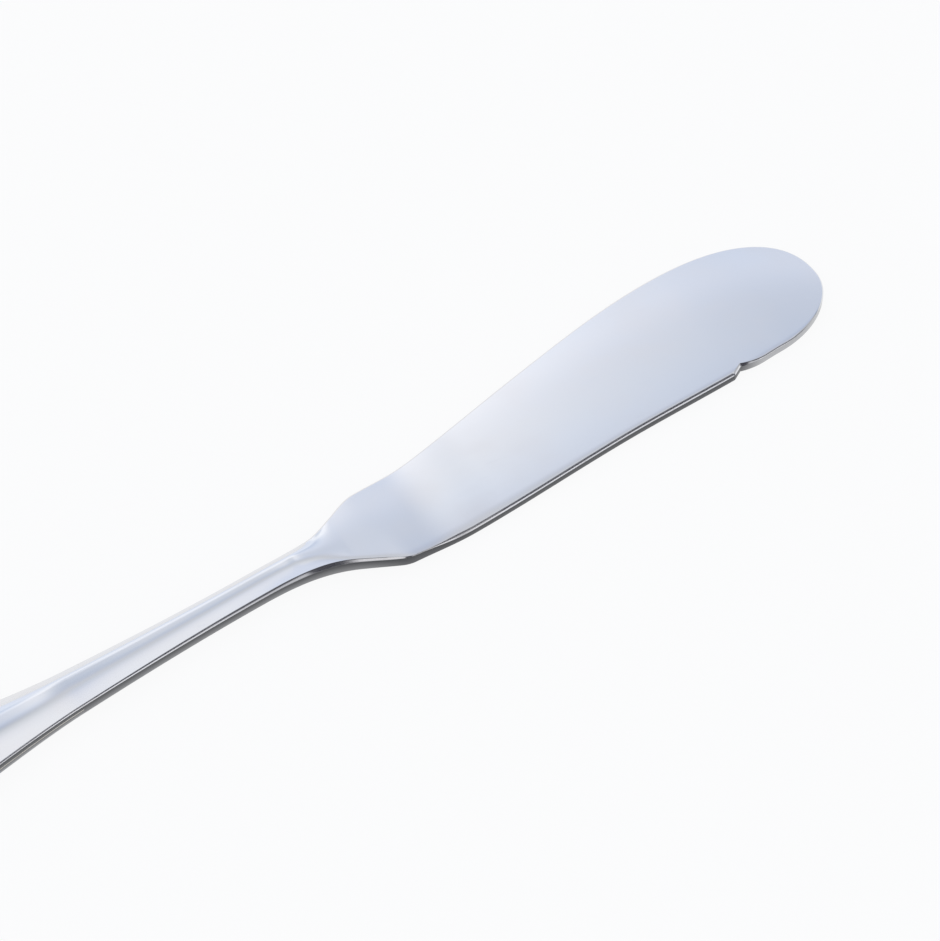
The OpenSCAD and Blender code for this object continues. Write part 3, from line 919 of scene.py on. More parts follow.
class Section:
    """Cross-sections of the knife as rings of points, all in the same order.

    A ring runs up the edge side, across the face, down the spine side and back along the underside.
    """

    ARC_STEPS = 20
    FACE_POINTS = 56
    UNDER_POINTS = 10

    def __init__(self, outline: Outline) -> None:
        """Takes the outline that the sections follow."""
        self.outline = outline
        self.sizes = outline.sizes
        self.side_points = 2 * (self.ARC_STEPS + 1)

    def side(self, x: np.ndarray, side: int, inset: float) -> np.ndarray:
        """Points up one side, from the underside to the face.

        Args:
            x: places along the knife.
            side: 1 for the spine side, -1 for the edge side.
            inset: distance that the section is drawn in all round.

        Returns:
            Points by place, step and coordinate.
        """
        line = self.outline
        steps = np.linspace(0.0, 1.0, self.ARC_STEPS + 1)[None, :]
        low_r = line.under_round.at(x)[:, None]
        low_turn = steps * math.pi / 2
        low_in = low_r * (1 - np.sin(low_turn))
        low_z = line.under.at(x)[:, None] + low_r * (1 - np.cos(low_turn)) + inset
        top = line.top(x, side)[:, None]
        high_r = (line.spine_arris if side > 0 else line.edge_arris).at(x)[:, None]
        power = 2 / self.sizes.arris_fullness
        last = np.arctan(np.tan(line.face_tilt(x, side)) ** self.sizes.tilt_power)
        high_turn = (1 - steps) * (math.pi / 2) + steps * last[:, None]
        high_in = high_r * (1 - np.maximum(np.sin(high_turn), 0.0) ** power)
        high_z = top - high_r * (1 - np.maximum(np.cos(high_turn), 0.0) ** power) - inset
        ins = np.concatenate([low_in, high_in], axis=1) + inset
        z = np.concatenate([low_z, high_z], axis=1)
        plan_y = (line.spine_y if side > 0 else line.edge_y)(x)
        plan = np.stack([x, plan_y], axis=1)[:, None, :] - ins[:, :, None] * line.outward(x, side)[:, None, :]
        return np.concatenate([plan, z[:, :, None]], axis=2)

    @staticmethod
    def between(a: np.ndarray, b: np.ndarray, count: int) -> tuple[np.ndarray, np.ndarray]:
        """Points on the straight lines between two rows of points, closer together near the rows.

        Args:
            a: first row.
            b: second row.
            count: number of points between them.

        Returns:
            Points by place, step and coordinate, and the share of the way of each step.
        """
        v = (1 - np.cos(np.arange(1, count + 1) * math.pi / (count + 1))) / 2
        return a[:, None, :] + (b - a)[:, None, :] * v[None, :, None], v[None, :]

    def rings(self, x: np.ndarray, inset: float = 0.0) -> np.ndarray:
        """Whole sections of the knife.

        Args:
            x: places along the knife.
            inset: distance that the sections are drawn in all round.

        Returns:
            Points by place, step and coordinate.
        """
        line = self.outline
        edge = self.side(x, -1, inset)
        spine = self.side(x, 1, inset)[:, ::-1]
        lift = line.nick_lift(x)
        # Where the nick cuts into the face, the face starts that much further across
        start = (lift / np.maximum(line.spine_y(x) - line.edge_y(x) + lift, self.sizes.waist_w))[:, None]
        low = edge[:, -1:, 2]
        rise = spine[:, :1, 2] - low
        face, v = self.between(edge[:, -1], spine[:, 0], self.FACE_POINTS)
        way = start + (1 - start) * v
        face[:, :, 2] = low + rise * way + line.bulge(x, way)
        edge[:, self.ARC_STEPS + 1:, 2] += start * rise + line.bulge(x, start)
        under, _ = self.between(spine[:, -1], edge[:, 0], self.UNDER_POINTS)
        return np.concatenate([edge, face, spine, under], axis=1)

    def ground(self, x: np.ndarray) -> np.ndarray:
        """How far each point is grind-finished and darkened with painted shade: most at the top of the side
        walls, none on the polished face.

        Args:
            x: places along the knife.

        Returns:
            Shares from 0 to 1 by place and step.
        """
        s = self.sizes
        steps = np.linspace(0.0, 1.0, self.ARC_STEPS + 1)
        foot = SmoothCurve((
            Knot(-s.flank_back, s.neck_wall_ground, 0.0),
            Knot(s.heel_round, s.blade_wall_ground, 0.0))).at(x)[:, None]
        low = s.under_ground + (foot - s.under_ground) * steps
        high = np.broadcast_to(np.clip(1 - steps / s.wall_share, 0.0, 1.0), low.shape)
        side = np.concatenate([low, high], axis=1)
        face = np.zeros((len(x), self.FACE_POINTS))
        under = np.full((len(x), self.UNDER_POINTS), s.under_ground)
        fade = SmoothCurve((
            Knot(s.nick_x, 1.0, 0.0), Knot(s.nick_end_x, s.lip_ground, 0.0),
            Knot(s.tip_x, s.tip_ground, 0.0))).at(x)[:, None]
        return fade * np.concatenate([side, face, side[:, ::-1], under], axis=1)

    def bar(self, x: float, half: float, low: float, high: float) -> np.ndarray:
        """Section of a straight bar.

        Args:
            x: place along the knife.
            half: half of the bar's width.
            low: height of its underside.
            high: height of its top.

        Returns:
            One ring of points.
        """
        rise = np.linspace(low, high, self.side_points)
        across = np.full(self.side_points, half)
        face_y = np.linspace(-half, half, self.FACE_POINTS + 2)[1:-1]
        under_y = np.linspace(half, -half, self.UNDER_POINTS + 2)[1:-1]
        y = np.concatenate([-across, face_y, across, under_y])
        z = np.concatenate([
            rise, np.full(self.FACE_POINTS, high), rise[::-1], np.full(self.UNDER_POINTS, low)])
        return np.stack([np.full_like(y, x), y, z], axis=1)


def skin_mesh(name: str, rings: np.ndarray, ground: np.ndarray, sharp_angle: float) -> bpy.types.Mesh:
    """Closed smooth mesh over rings, whose first ring is capped and whose last ring closes on itself.

    Args:
        name: name of the mesh.
        rings: points by ring, step and coordinate.
        ground: how far each point is grind-finished and darkened with painted shade, by ring and step.
        sharp_angle: angle from which an edge stays sharp, in radians.

    Returns:
        The mesh.
    """
    count, steps, _ = rings.shape
    work = bmesh.new()
    layer = work.verts.layers.float.new(GROUND_AND_SHADE)
    points = [work.verts.new(p) for p in rings.reshape(-1, 3)]
    for point, share in zip(points, ground.ravel()):
        point[layer] = share
    for i in range(count - 1):
        for k in range(steps):
            m = (k + 1) % steps
            work.faces.new((
                points[i * steps + k], points[i * steps + m],
                points[(i + 1) * steps + m], points[(i + 1) * steps + k]))
    work.faces.new(points[:steps])
    bmesh.ops.remove_doubles(work, verts=work.verts, dist=MERGE_DISTANCE)
    bmesh.ops.dissolve_degenerate(work, edges=work.edges, dist=MERGE_DISTANCE)
    bmesh.ops.recalc_face_normals(work, faces=work.faces)
    mesh = bpy.data.meshes.new(name)
    work.to_mesh(mesh)
    work.free()
    mesh.shade_smooth()
    mesh.set_sharp_from_angle(angle=sharp_angle)
    return mesh


def place_piece(name: str, mesh: bpy.types.Mesh, finish: Finish, slot: Slot, node: str) -> bpy.types.Object:
    """Puts a finished mesh into the scene as a piece that stands for a CAD node.

    Args:
        name: name of the piece.
        mesh: its mesh, in the frame of the part.
        finish: its finish.
        slot: the record's slot for that finish; not used.
        node: the CAD node that it stands for.

    Returns:
        The piece.
    """
    piece = bpy.data.objects.new(name, mesh)
    bpy.context.scene.collection.objects.link(piece)
    mesh.materials.clear()
    mesh.materials.append(finish.material())
    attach(piece, BODY)
    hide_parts(node)
    LOG.info("%s: %d vertices, %d faces", name, len(mesh.vertices), len(mesh.polygons))
    return piece


@dataclass
class Blade:
    """Forging of blade, neck, spigot and notched tang."""

    sizes: KnifeSizes
    outline: Outline
    finish: Finish
    neck_step: float = mm(0.5)
    fine_step: float = mm(0.16)
    blade_step: float = mm(0.4)
    nick_step: float = mm(0.07)
    tip_stations: int = 90
    sharp_angle: float = math.radians(32)

    def stations(self) -> np.ndarray:
        """Places of the sections from the handle's mouth to the tip."""
        s = self.sizes
        stretches = (
            (s.mouth_x, -s.flare_back, self.neck_step),
            (-s.flare_back, s.belly_ahead, self.fine_step),
            (s.belly_ahead, s.nick_x, self.blade_step),
            (s.nick_x, s.nick_end_x, self.nick_step),
            (s.nick_end_x, s.tip_round_x, self.fine_step),
        )
        runs = [np.linspace(a, b, math.ceil((b - a) / step) + 1)[:-1] for a, b, step in stretches]
        k = np.arange(self.tip_stations + 1) / self.tip_stations
        runs.append(s.tip_x - s.tip_round_back * (1 - k) ** 2)
        return np.concatenate(runs)

    def tang_half(self, x: float) -> float:
        """Half width of the tang at one place, with its keying notches."""
        s = self.sizes
        run = (s.spigot_x - x) / (s.spigot_x - s.tang_x)
        cuts = []
        for middle in s.notch_places:
            away = abs(x - middle) - s.notch_len / 2
            cuts.append(s.notch_depth * min(max(1 - away / s.notch_slope, 0.0), 1.0))
        return (s.tang_w + (s.tang_end_w - s.tang_w) * run) / 2 - max(cuts)

    def tang_rings(self, section: Section) -> list[np.ndarray]:
        """Rings of the tang, from its end to the spigot.

        Args:
            section: maker of the rings.

        Returns:
            The rings.
        """
        s = self.sizes
        reach = s.notch_len / 2 + s.notch_slope
        places = [s.tang_x, s.spigot_x]
        for middle in s.notch_places:
            places += [middle - reach, middle - s.notch_len / 2, middle + s.notch_len / 2, middle + reach]
        low, high = s.tang_z - s.tang_t / 2, s.tang_z + s.tang_t / 2
        return [section.bar(x, self.tang_half(x), low, high) for x in sorted(places)]

    def build(self) -> bpy.types.Object:
        """Builds the forging in one closed mesh.

        Returns:
            The piece.
        """
        s = self.sizes
        section = Section(self.outline)
        mouth = section.rings(np.array([s.mouth_x]), s.shell_wall + s.fit_gap)[0]
        spigot_end = mouth.copy()
        spigot_end[:, 0] = s.spigot_x
        stations = self.stations()
        body = section.rings(stations)
        body[:, :, 2] = np.maximum(body[:, :, 2], 0.0)
        inside = np.stack([*self.tang_rings(section), spigot_end, mouth])
        rings = np.concatenate([inside, body])
        # Mask of grind finish and painted shade; the hidden tang and spigot take all of it
        ground = np.concatenate([np.ones(inside.shape[:2]), section.ground(stations)])
        mesh = skin_mesh("blade_forging", rings + np.array(s.shift), ground, self.sharp_angle)
        return place_piece("blade_forging", mesh, self.finish, Slot.BLADE, "blade")


@dataclass
class Handle:
    """Hollow handle: two pressed shells, the braze between their rims and the resin inside them.

    butt_share of the stations lie in the butt's rounding. Round half a section, the crown ends at crown_share
    and the arris at arc_share. The least values keep a division sound at the butt's end.
    """

    sizes: KnifeSizes
    outline: Outline
    steel: Finish
    braze: Finish
    resin: Finish
    stations: int = 190
    ring_points: int = 241
    butt_share: float = 0.45
    crown_share: float = 0.5
    arc_share: float = 0.8
    middle_share: float = 0.001
    butt_ease: float = 1.8
    steepest: float = 0.9
    least: float = mm(0.001)
    least_square: float = 0.05
    row_slack: float = 0.25
    braze_points: int = 400
    sharp_angle: float = math.radians(38)
    inputs: dict[str, float] = field(init=False)

    def __post_init__(self) -> None:
        """Names the sizes that the trees take as inputs."""
        s = self.sizes
        line = self.outline
        self.inputs = {
            "Mouth X": s.mouth_x,
            "Straight Length": s.handle_len - s.handle_peak_ahead,
            "Butt Length": s.handle_peak_ahead,
            "Butt Fullness": s.butt_fullness,
            "Half Width": s.handle_w / 2,
            "Mouth Half Width": s.mouth_w / 2,
            "Mouth Slope": s.mouth_slope,
            "Arris Height": s.handle_t,
            "Mouth Arris Height": s.mouth_t,
            "Arris Start Slope": line.edge_top.slope(0),
            "Arris Mouth Slope": line.edge_top.slope(1),
            "Crown": s.handle_crown,
            "Mouth Crown": s.mouth_crown,
            "Crown Start Slope": line.crown_curve.slope(0),
            "Crown Mouth Slope": line.crown_curve.slope(1),
            "Mouth Lift": s.neck_lift / 2,
            "Lift Start Slope": line.under.slope(0),
            "Lift Mouth Slope": line.under.slope(1),
            # Levels of the mask that roughens the shells' walls and darkens them with painted shade
            "Seam Ground And Shade": (1 + s.neck_wall_ground) / 2,
            "Under Ground And Shade": s.under_ground,
            "Mouth Crest Y": s.mouth_crest_y,
            "Arris Fullness": s.arris_fullness,
            "Tilt Power": s.tilt_power,
            "Ridge Turn": s.ridge_turn,
            "Ridge Drop": s.ridge_drop,
            "Face Round": s.face_round,
            "Under Round": s.handle_under_round,
            "Wall": s.shell_wall,
            "Seam Height": s.seam_z,
            "Braze": s.braze_t,
            "Shift X": s.shift.x,
            "Shift Y": s.shift.y,
        }

    def tree(self, name: str) -> tuple[Graph, dict[str, Wire]]:
        """Starts a geometry tree with the handle's sizes as inputs.

        Args:
            name: name of the tree.

        Returns:
            The graph, and its input wires by name.
        """
        group = bpy.data.node_groups.new(name, "GeometryNodeTree")
        group.interface.new_socket("Geometry", in_out="OUTPUT", socket_type="NodeSocketGeometry")
        for label in self.inputs:
            group.interface.new_socket(label, in_out="INPUT", socket_type="NodeSocketFloat")
        group.interface.new_socket("Finish", in_out="INPUT", socket_type="NodeSocketMaterial")
        graph = Graph(group)
        source = graph.add("NodeGroupInput")
        return graph, {label: graph.wire(source, label) for label in (*self.inputs, "Finish")}

    def finish_tree(self, graph: Graph, shape: Wire, given: dict[str, Wire]) -> None:
        """Ends a tree: smooth faces, sharp corners, real geometry and its finish.

        Args:
            graph: the tree's graph.
            shape: wire of the geometry.
            given: the tree's input wires.
        """
        smooth = graph.out(
            "GeometryNodeSetShadeSmooth", {"domain": "FACE"}, {"Geometry": shape, "Shade Smooth": True})
        angle = graph.out("GeometryNodeInputMeshEdgeAngle")
        cornered = graph.out(
            "GeometryNodeSetShadeSmooth", {"domain": "EDGE"},
            {"Geometry": smooth, "Selection": angle > self.sharp_angle, "Shade Smooth": False})
        real = graph.out("GeometryNodeRealizeInstances", None, {"Geometry": cornered})
        dressed = graph.out(
            "GeometryNodeSetMaterial", None, {"Geometry": real, "Material": given["Finish"]})
        graph.add("NodeGroupOutput", None, {"Geometry": dressed})

    @staticmethod
    def cubic(t: Wire, run: Wire, start: Value, end: Wire, start_slope: Value, end_slope: Value) -> Wire:
        """Cubic from one value to another, with their slopes.

        Args:
            t: fraction of the way.
            run: length of the way.
            start: value at its start.
            end: value at its end.
            start_slope: slope at its start.
            end_slope: slope at its end.

        Returns:
            The value at that fraction.
        """
        rest = 1 - t
        ease = start_slope * t * rest * rest - end_slope * t * t * rest
        return start + (end - start) * (3 - 2 * t) * t * t + run * ease

    @staticmethod
    def ridge_fall(graph: Graph, given: dict[str, Wire], way: Wire) -> Wire:
        """Fall of the soft ridge, as on the neck.

        Args:
            graph: the tree's graph.
            given: the tree's input wires.
            way: distance from the crest, as a share of the width.

        Returns:
            The fall, before it is scaled.
        """
        turn = given["Ridge Turn"]
        part = graph.maths("MINIMUM", way / turn, 1.0)
        return turn * part * part * part * (1 - part / 2) + graph.maths("MAXIMUM", way - turn, 0.0)

    def plan(self, graph: Graph, given: dict[str, Wire], u: Wire) -> dict[str, Wire]:
        """Plan of the handle's spine side, from the butt at u 0 to the mouth at u 1.

        Args:
            graph: the tree's graph.
            given: the tree's input wires.
            u: place along the handle.

        Returns:
            Wires of the place, half width, outward direction, fraction to the mouth and share of the crown.
        """
        in_butt = self.butt_share - u > 0.0
        turn = graph.maths("MAXIMUM", 1 - u / self.butt_share, 0.0) * (math.pi / 2)
        power = 2 / given["Butt Fullness"]
        reach = graph.maths("SINE", turn) ** power
        share = graph.maths("MAXIMUM", graph.maths("COSINE", turn), 0.0) ** power
        t = graph.maths("MAXIMUM", (u - self.butt_share) / (1 - self.butt_share), 0.0)
        straight = self.cubic(
            t, given["Straight Length"], given["Half Width"], given["Mouth Half Width"],
            0.0, given["Mouth Slope"])
        out_x = reach ** (given["Butt Fullness"] - 1) / given["Butt Length"]
        out_y = share ** (given["Butt Fullness"] - 1) / given["Half Width"]
        length = graph.maths("SQRT", out_x * out_x + out_y * out_y)
        back = given["Mouth X"] - given["Straight Length"] - given["Butt Length"] * reach
        ahead = given["Mouth X"] - given["Straight Length"] * (1 - t)
        return {
            "x": graph.choose(in_butt, back, ahead),
            "half": graph.choose(in_butt, given["Half Width"] * share, straight),
            "out_x": graph.choose(in_butt, -1 * out_x / length, 0.0),
            "out_y": graph.choose(in_butt, out_y / length, 1.0),
            "t": t,
            "share": graph.choose(in_butt, share, 1.0),
        }

    def strip(
        self,
        graph: Graph,
        given: dict[str, Wire],
        plan: dict[str, Wire],
        around: Wire,
        side: Wire,
        half: Half,
        inset: Wire,
    ) -> tuple[Wire, Wire, Wire]:
        """Half of a shell's section, from its middle line to the seam.

        Args:
            graph: the tree's graph.
            given: the tree's input wires.
            plan: the handle's plan at this place.
            around: place round the section, from 0 at its middle line to 1 at the seam.
            side: 1 on the spine side, -1 on the edge side.
            half: which shell it is.
            inset: distance that the section is drawn in.

        Returns:
            Wires of x, y and z, with y counted outwards from the handle's middle.
        """
        turn_left = graph.share((self.arc_share - around) / (self.arc_share - self.crown_share))
        wall_way = graph.share((around - self.arc_share) / (1 - self.arc_share))
        across = graph.share(around / self.crown_share)
        run, t = given["Straight Length"], plan["t"]
        if half is Half.UPPER:
            top = self.cubic(
                t, run, given["Arris Height"], given["Mouth Arris Height"],
                given["Arris Start Slope"], given["Arris Mouth Slope"])
            crown = plan["share"] ** self.butt_ease * self.cubic(
                t, run, given["Crown"], given["Mouth Crown"],
                given["Crown Start Slope"], given["Crown Mouth Slope"])
            round_r = given["Face Round"]
            half_w = graph.maths("MAXIMUM", plan["half"], self.least)
            face_w = graph.maths("MAXIMUM", 2 * half_w - 2 * round_r, half_w)
            square = graph.maths("MAXIMUM", plan["out_y"], self.least_square)
            lean = (crown + self.least) / (face_w * given["Ridge Drop"] * square)
            slope = graph.maths("MINIMUM", lean, self.steepest)
            full = math.pi / 2 - graph.maths("ARCTANGENT", slope ** given["Tilt Power"])
            angle = full * turn_left
            power = 2 / given["Arris Fullness"]
            drawn = round_r * (1 - graph.maths("COSINE", angle) ** power)
            raised = graph.maths("MAXIMUM", graph.maths("SINE", angle), 0.0) ** power
            arc_z = top - round_r * (1 - raised) - inset
            seam = given["Seam Height"] + given["Braze"] / 2
            bulge = crown * (1 - self.ridge_fall(graph, given, across / 2) / given["Ridge Drop"])
            crest = self.cubic(t, run, 0.0, given["Mouth Crest Y"], 0.0, 0.0)
        else:
            base = self.cubic(
                t, run, 0.0, given["Mouth Lift"], given["Lift Start Slope"], given["Lift Mouth Slope"])
            round_r = given["Under Round"]
            angle = turn_left * (math.pi / 2)
            drawn = round_r * (1 - graph.maths("COSINE", angle))
            arc_z = base + round_r * (1 - graph.maths("SINE", angle)) + inset
            seam = given["Seam Height"] - given["Braze"] / 2
            bulge, crest = 0.0, 0.0
        drawn = drawn + inset
        x = plan["x"] - drawn * plan["out_x"]
        flank = graph.maths("MAXIMUM", plan["half"] - drawn * plan["out_y"], 0.0)
        y = flank * across + side * crest * (1 - across)
        z = arc_z + (seam - arc_z) * wall_way + bulge
        return x, y, z

    def ground(self, graph: Graph, given: dict[str, Wire], around: Wire, half: Half) -> Wire:
        """How far a shell is grind-finished and darkened with painted shade, as on the neck: most at the top
        of its side wall.

        Args:
            graph: the tree's graph.
            given: the tree's input wires.
            around: place round the section, from 0 at its middle line to 1 at the seam.
            half: which shell it is.

        Returns:
            The share from 0 to 1.
        """
        if half is Half.UPPER:
            start = self.arc_share - (self.arc_share - self.crown_share) * self.sizes.wall_share
            rise = graph.share((around - start) / (self.arc_share - start))
            wall_way = graph.share((around - self.arc_share) / (1 - self.arc_share))
            return rise * (1 - (1 - given["Seam Ground And Shade"]) * wall_way)
        rise = graph.share((around - self.crown_share) / (1 - self.crown_share))
        return given["Under Ground And Shade"] + (given["Seam Ground And Shade"] - given["Under Ground And Shade"]) * rise

    def shell_tree(self, half: Half) -> bpy.types.NodeTree:
        """Tree that presses one shell out of a grid.

        Args:
            half: which shell it is.

        Returns:
            The tree.
        """
        graph, given = self.tree(f"pressed_{half.value}")
        grid = graph.add(
            "GeometryNodeMeshGrid", None,
            {"Size X": 1.0, "Size Y": 1.0, "Vertices X": self.stations, "Vertices Y": self.ring_points})
        place = graph.out("GeometryNodeInputPosition")
        parts = graph.add("ShaderNodeSeparateXYZ", None, {0: place})
        rows = self.stations - 1
        row = (graph.wire(parts, "X") + 0.5) * (rows / (rows - 1))
        closing = row > 1.0 + self.row_slack / rows
        u = graph.maths("MINIMUM", row, 1.0)
        round_way = (graph.wire(parts, "Y") + 0.5) * 2
        inner = round_way > 1.0
        along = graph.choose(inner, 2 - round_way, round_way)
        signed = 2 * along - 1
        around = graph.maths("ABSOLUTE", signed)
        side = 2 * (signed > -self.middle_share) - 1
        inset = given["Wall"] * graph.maths("MAXIMUM", inner, closing)
        x, y, z = self.strip(graph, given, self.plan(graph, given, u), around, side, half, inset)
        moved = graph.out(
            "ShaderNodeCombineXYZ", None, {0: x + given["Shift X"], 1: y * side + given["Shift Y"], 2: z})
        # Stores the mask of grind finish and painted shade on the grid's points
        marked = graph.out(
            "GeometryNodeStoreNamedAttribute", {"data_type": "FLOAT", "domain": "POINT"},
            {"Geometry": graph.wire(grid), "Name": GROUND_AND_SHADE, "Value": self.ground(graph, given, around, half)})
        pressed = graph.out("GeometryNodeSetPosition", None, {"Geometry": marked, "Position": moved})
        merged = graph.out(
            "GeometryNodeMergeByDistance", None, {"Geometry": pressed, "Distance": MERGE_DISTANCE})
        self.finish_tree(graph, merged, given)
        return graph.tree

    def braze_tree(self) -> bpy.types.NodeTree:
        """Tree that runs the braze along the seam, from the mouth round the butt and back.

        Returns:
            The tree.
        """
        graph, given = self.tree("seam_braze_path")
        line = graph.out("GeometryNodeCurvePrimitiveLine", {"mode": "POINTS"})
        path = graph.out("GeometryNodeResampleCurve", None, {"Curve": line, "Count": self.braze_points})
        way = graph.out("GeometryNodeSplineParameter", output="Factor")
        signed = 2 * way - 1
        plan = self.plan(graph, given, graph.maths("ABSOLUTE", signed))
        drawn = given["Wall"] / 2
        x = plan["x"] - drawn * plan["out_x"] + given["Shift X"]
        y = (plan["half"] - drawn * plan["out_y"]) * graph.maths("SIGN", signed) + given["Shift Y"]
        placed = graph.out("ShaderNodeCombineXYZ", None, {0: x, 1: y, 2: given["Seam Height"]})
        laid = graph.out("GeometryNodeSetPosition", None, {"Geometry": path, "Position": placed})
        level = graph.out("GeometryNodeSetCurveNormal", {"mode": "Z_UP"}, {"Curve": laid})
        ribbon = graph.out(
            "GeometryNodeCurvePrimitiveQuadrilateral", None,
            {"Width": given["Wall"], "Height": given["Braze"]})
        swept = graph.out(
            "GeometryNodeCurveToMesh", None, {"Curve": level, "Profile Curve": ribbon, "Fill Caps": True})
        merged = graph.out(
            "GeometryNodeMergeByDistance", None, {"Geometry": swept, "Distance": MERGE_DISTANCE})
        self.finish_tree(graph, merged, given)
        return graph.tree

    def grown(self, name: str, tree: bpy.types.NodeTree, finish: Finish) -> bpy.types.Mesh:
        """Runs a tree and keeps its result as a plain mesh.

        Args:
            name: name of the mesh.
            tree: the geometry tree.
            finish: finish that the tree sets.

        Returns:
            The mesh, with its faces outwards.
        """
        holder = bpy.data.objects.new(f"{name}_holder", bpy.data.meshes.new(f"{name}_holder"))
        bpy.context.scene.collection.objects.link(holder)
        modifier = holder.modifiers.new(name, "NODES")
        modifier.node_group = tree
        for item in tree.interface.items_tree:
            if item.in_out == "INPUT":
                modifier[item.identifier] = self.inputs.get(item.name, finish.material())
        evaluated = holder.evaluated_get(bpy.context.evaluated_depsgraph_get())
        mesh = bpy.data.meshes.new_from_object(evaluated)
        mesh.name = name
        holder.modifiers.clear()
        bpy.data.objects.remove(holder)
        work = bmesh.new()
        work.from_mesh(mesh)
        bmesh.ops.recalc_face_normals(work, faces=work.faces)
        work.to_mesh(mesh)
        work.free()
        return mesh

    def build(self) -> list[bpy.types.Object]:
        """Builds the shells and the braze, and dresses the resin.

        Returns:
            The new pieces.
        """
        pieces = []
        for half in Half:
            name = half.name.lower() + "_shell"
            mesh = self.grown(name, self.shell_tree(half), self.steel)
            pieces.append(place_piece(name, mesh, self.steel, Slot.HANDLE, half.value))
        mesh = self.grown("braze_line", self.braze_tree(), self.braze)
        pieces.append(place_piece("braze_line", mesh, self.braze, Slot.BRAZE, "seam_braze"))
        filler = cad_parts["handle_filler"]
        filler.data.materials.clear()
        filler.data.materials.append(self.resin.material())
        LOG.info("handle_filler: keeps its CAD solid")
        return pieces


# Studio


@dataclass(frozen=True)
class Tint:
    """Cooler light from a part of the tent.

    Each pair gives the angles in degrees at which the tint is none and full: reach across the tent, and foot
    and top in pitch.
    """

    colour: Colour
    reach: Span
    foot: Span
    top: Span

    def share(self, graph: Graph, place: Wire, pitch: Wire) -> Wire:
        """How far the light from one direction is tinted.

        Args:
            graph: the world's graph.
            place: place of the direction across the tent, in degrees.
            pitch: its pitch, in degrees.

        Returns:
            The share from 0 to 1.
        """
        across = graph.smooth_step(place, *self.reach)
        return across * graph.smooth_step(pitch, *self.foot) * graph.smooth_step(pitch, *self.top)


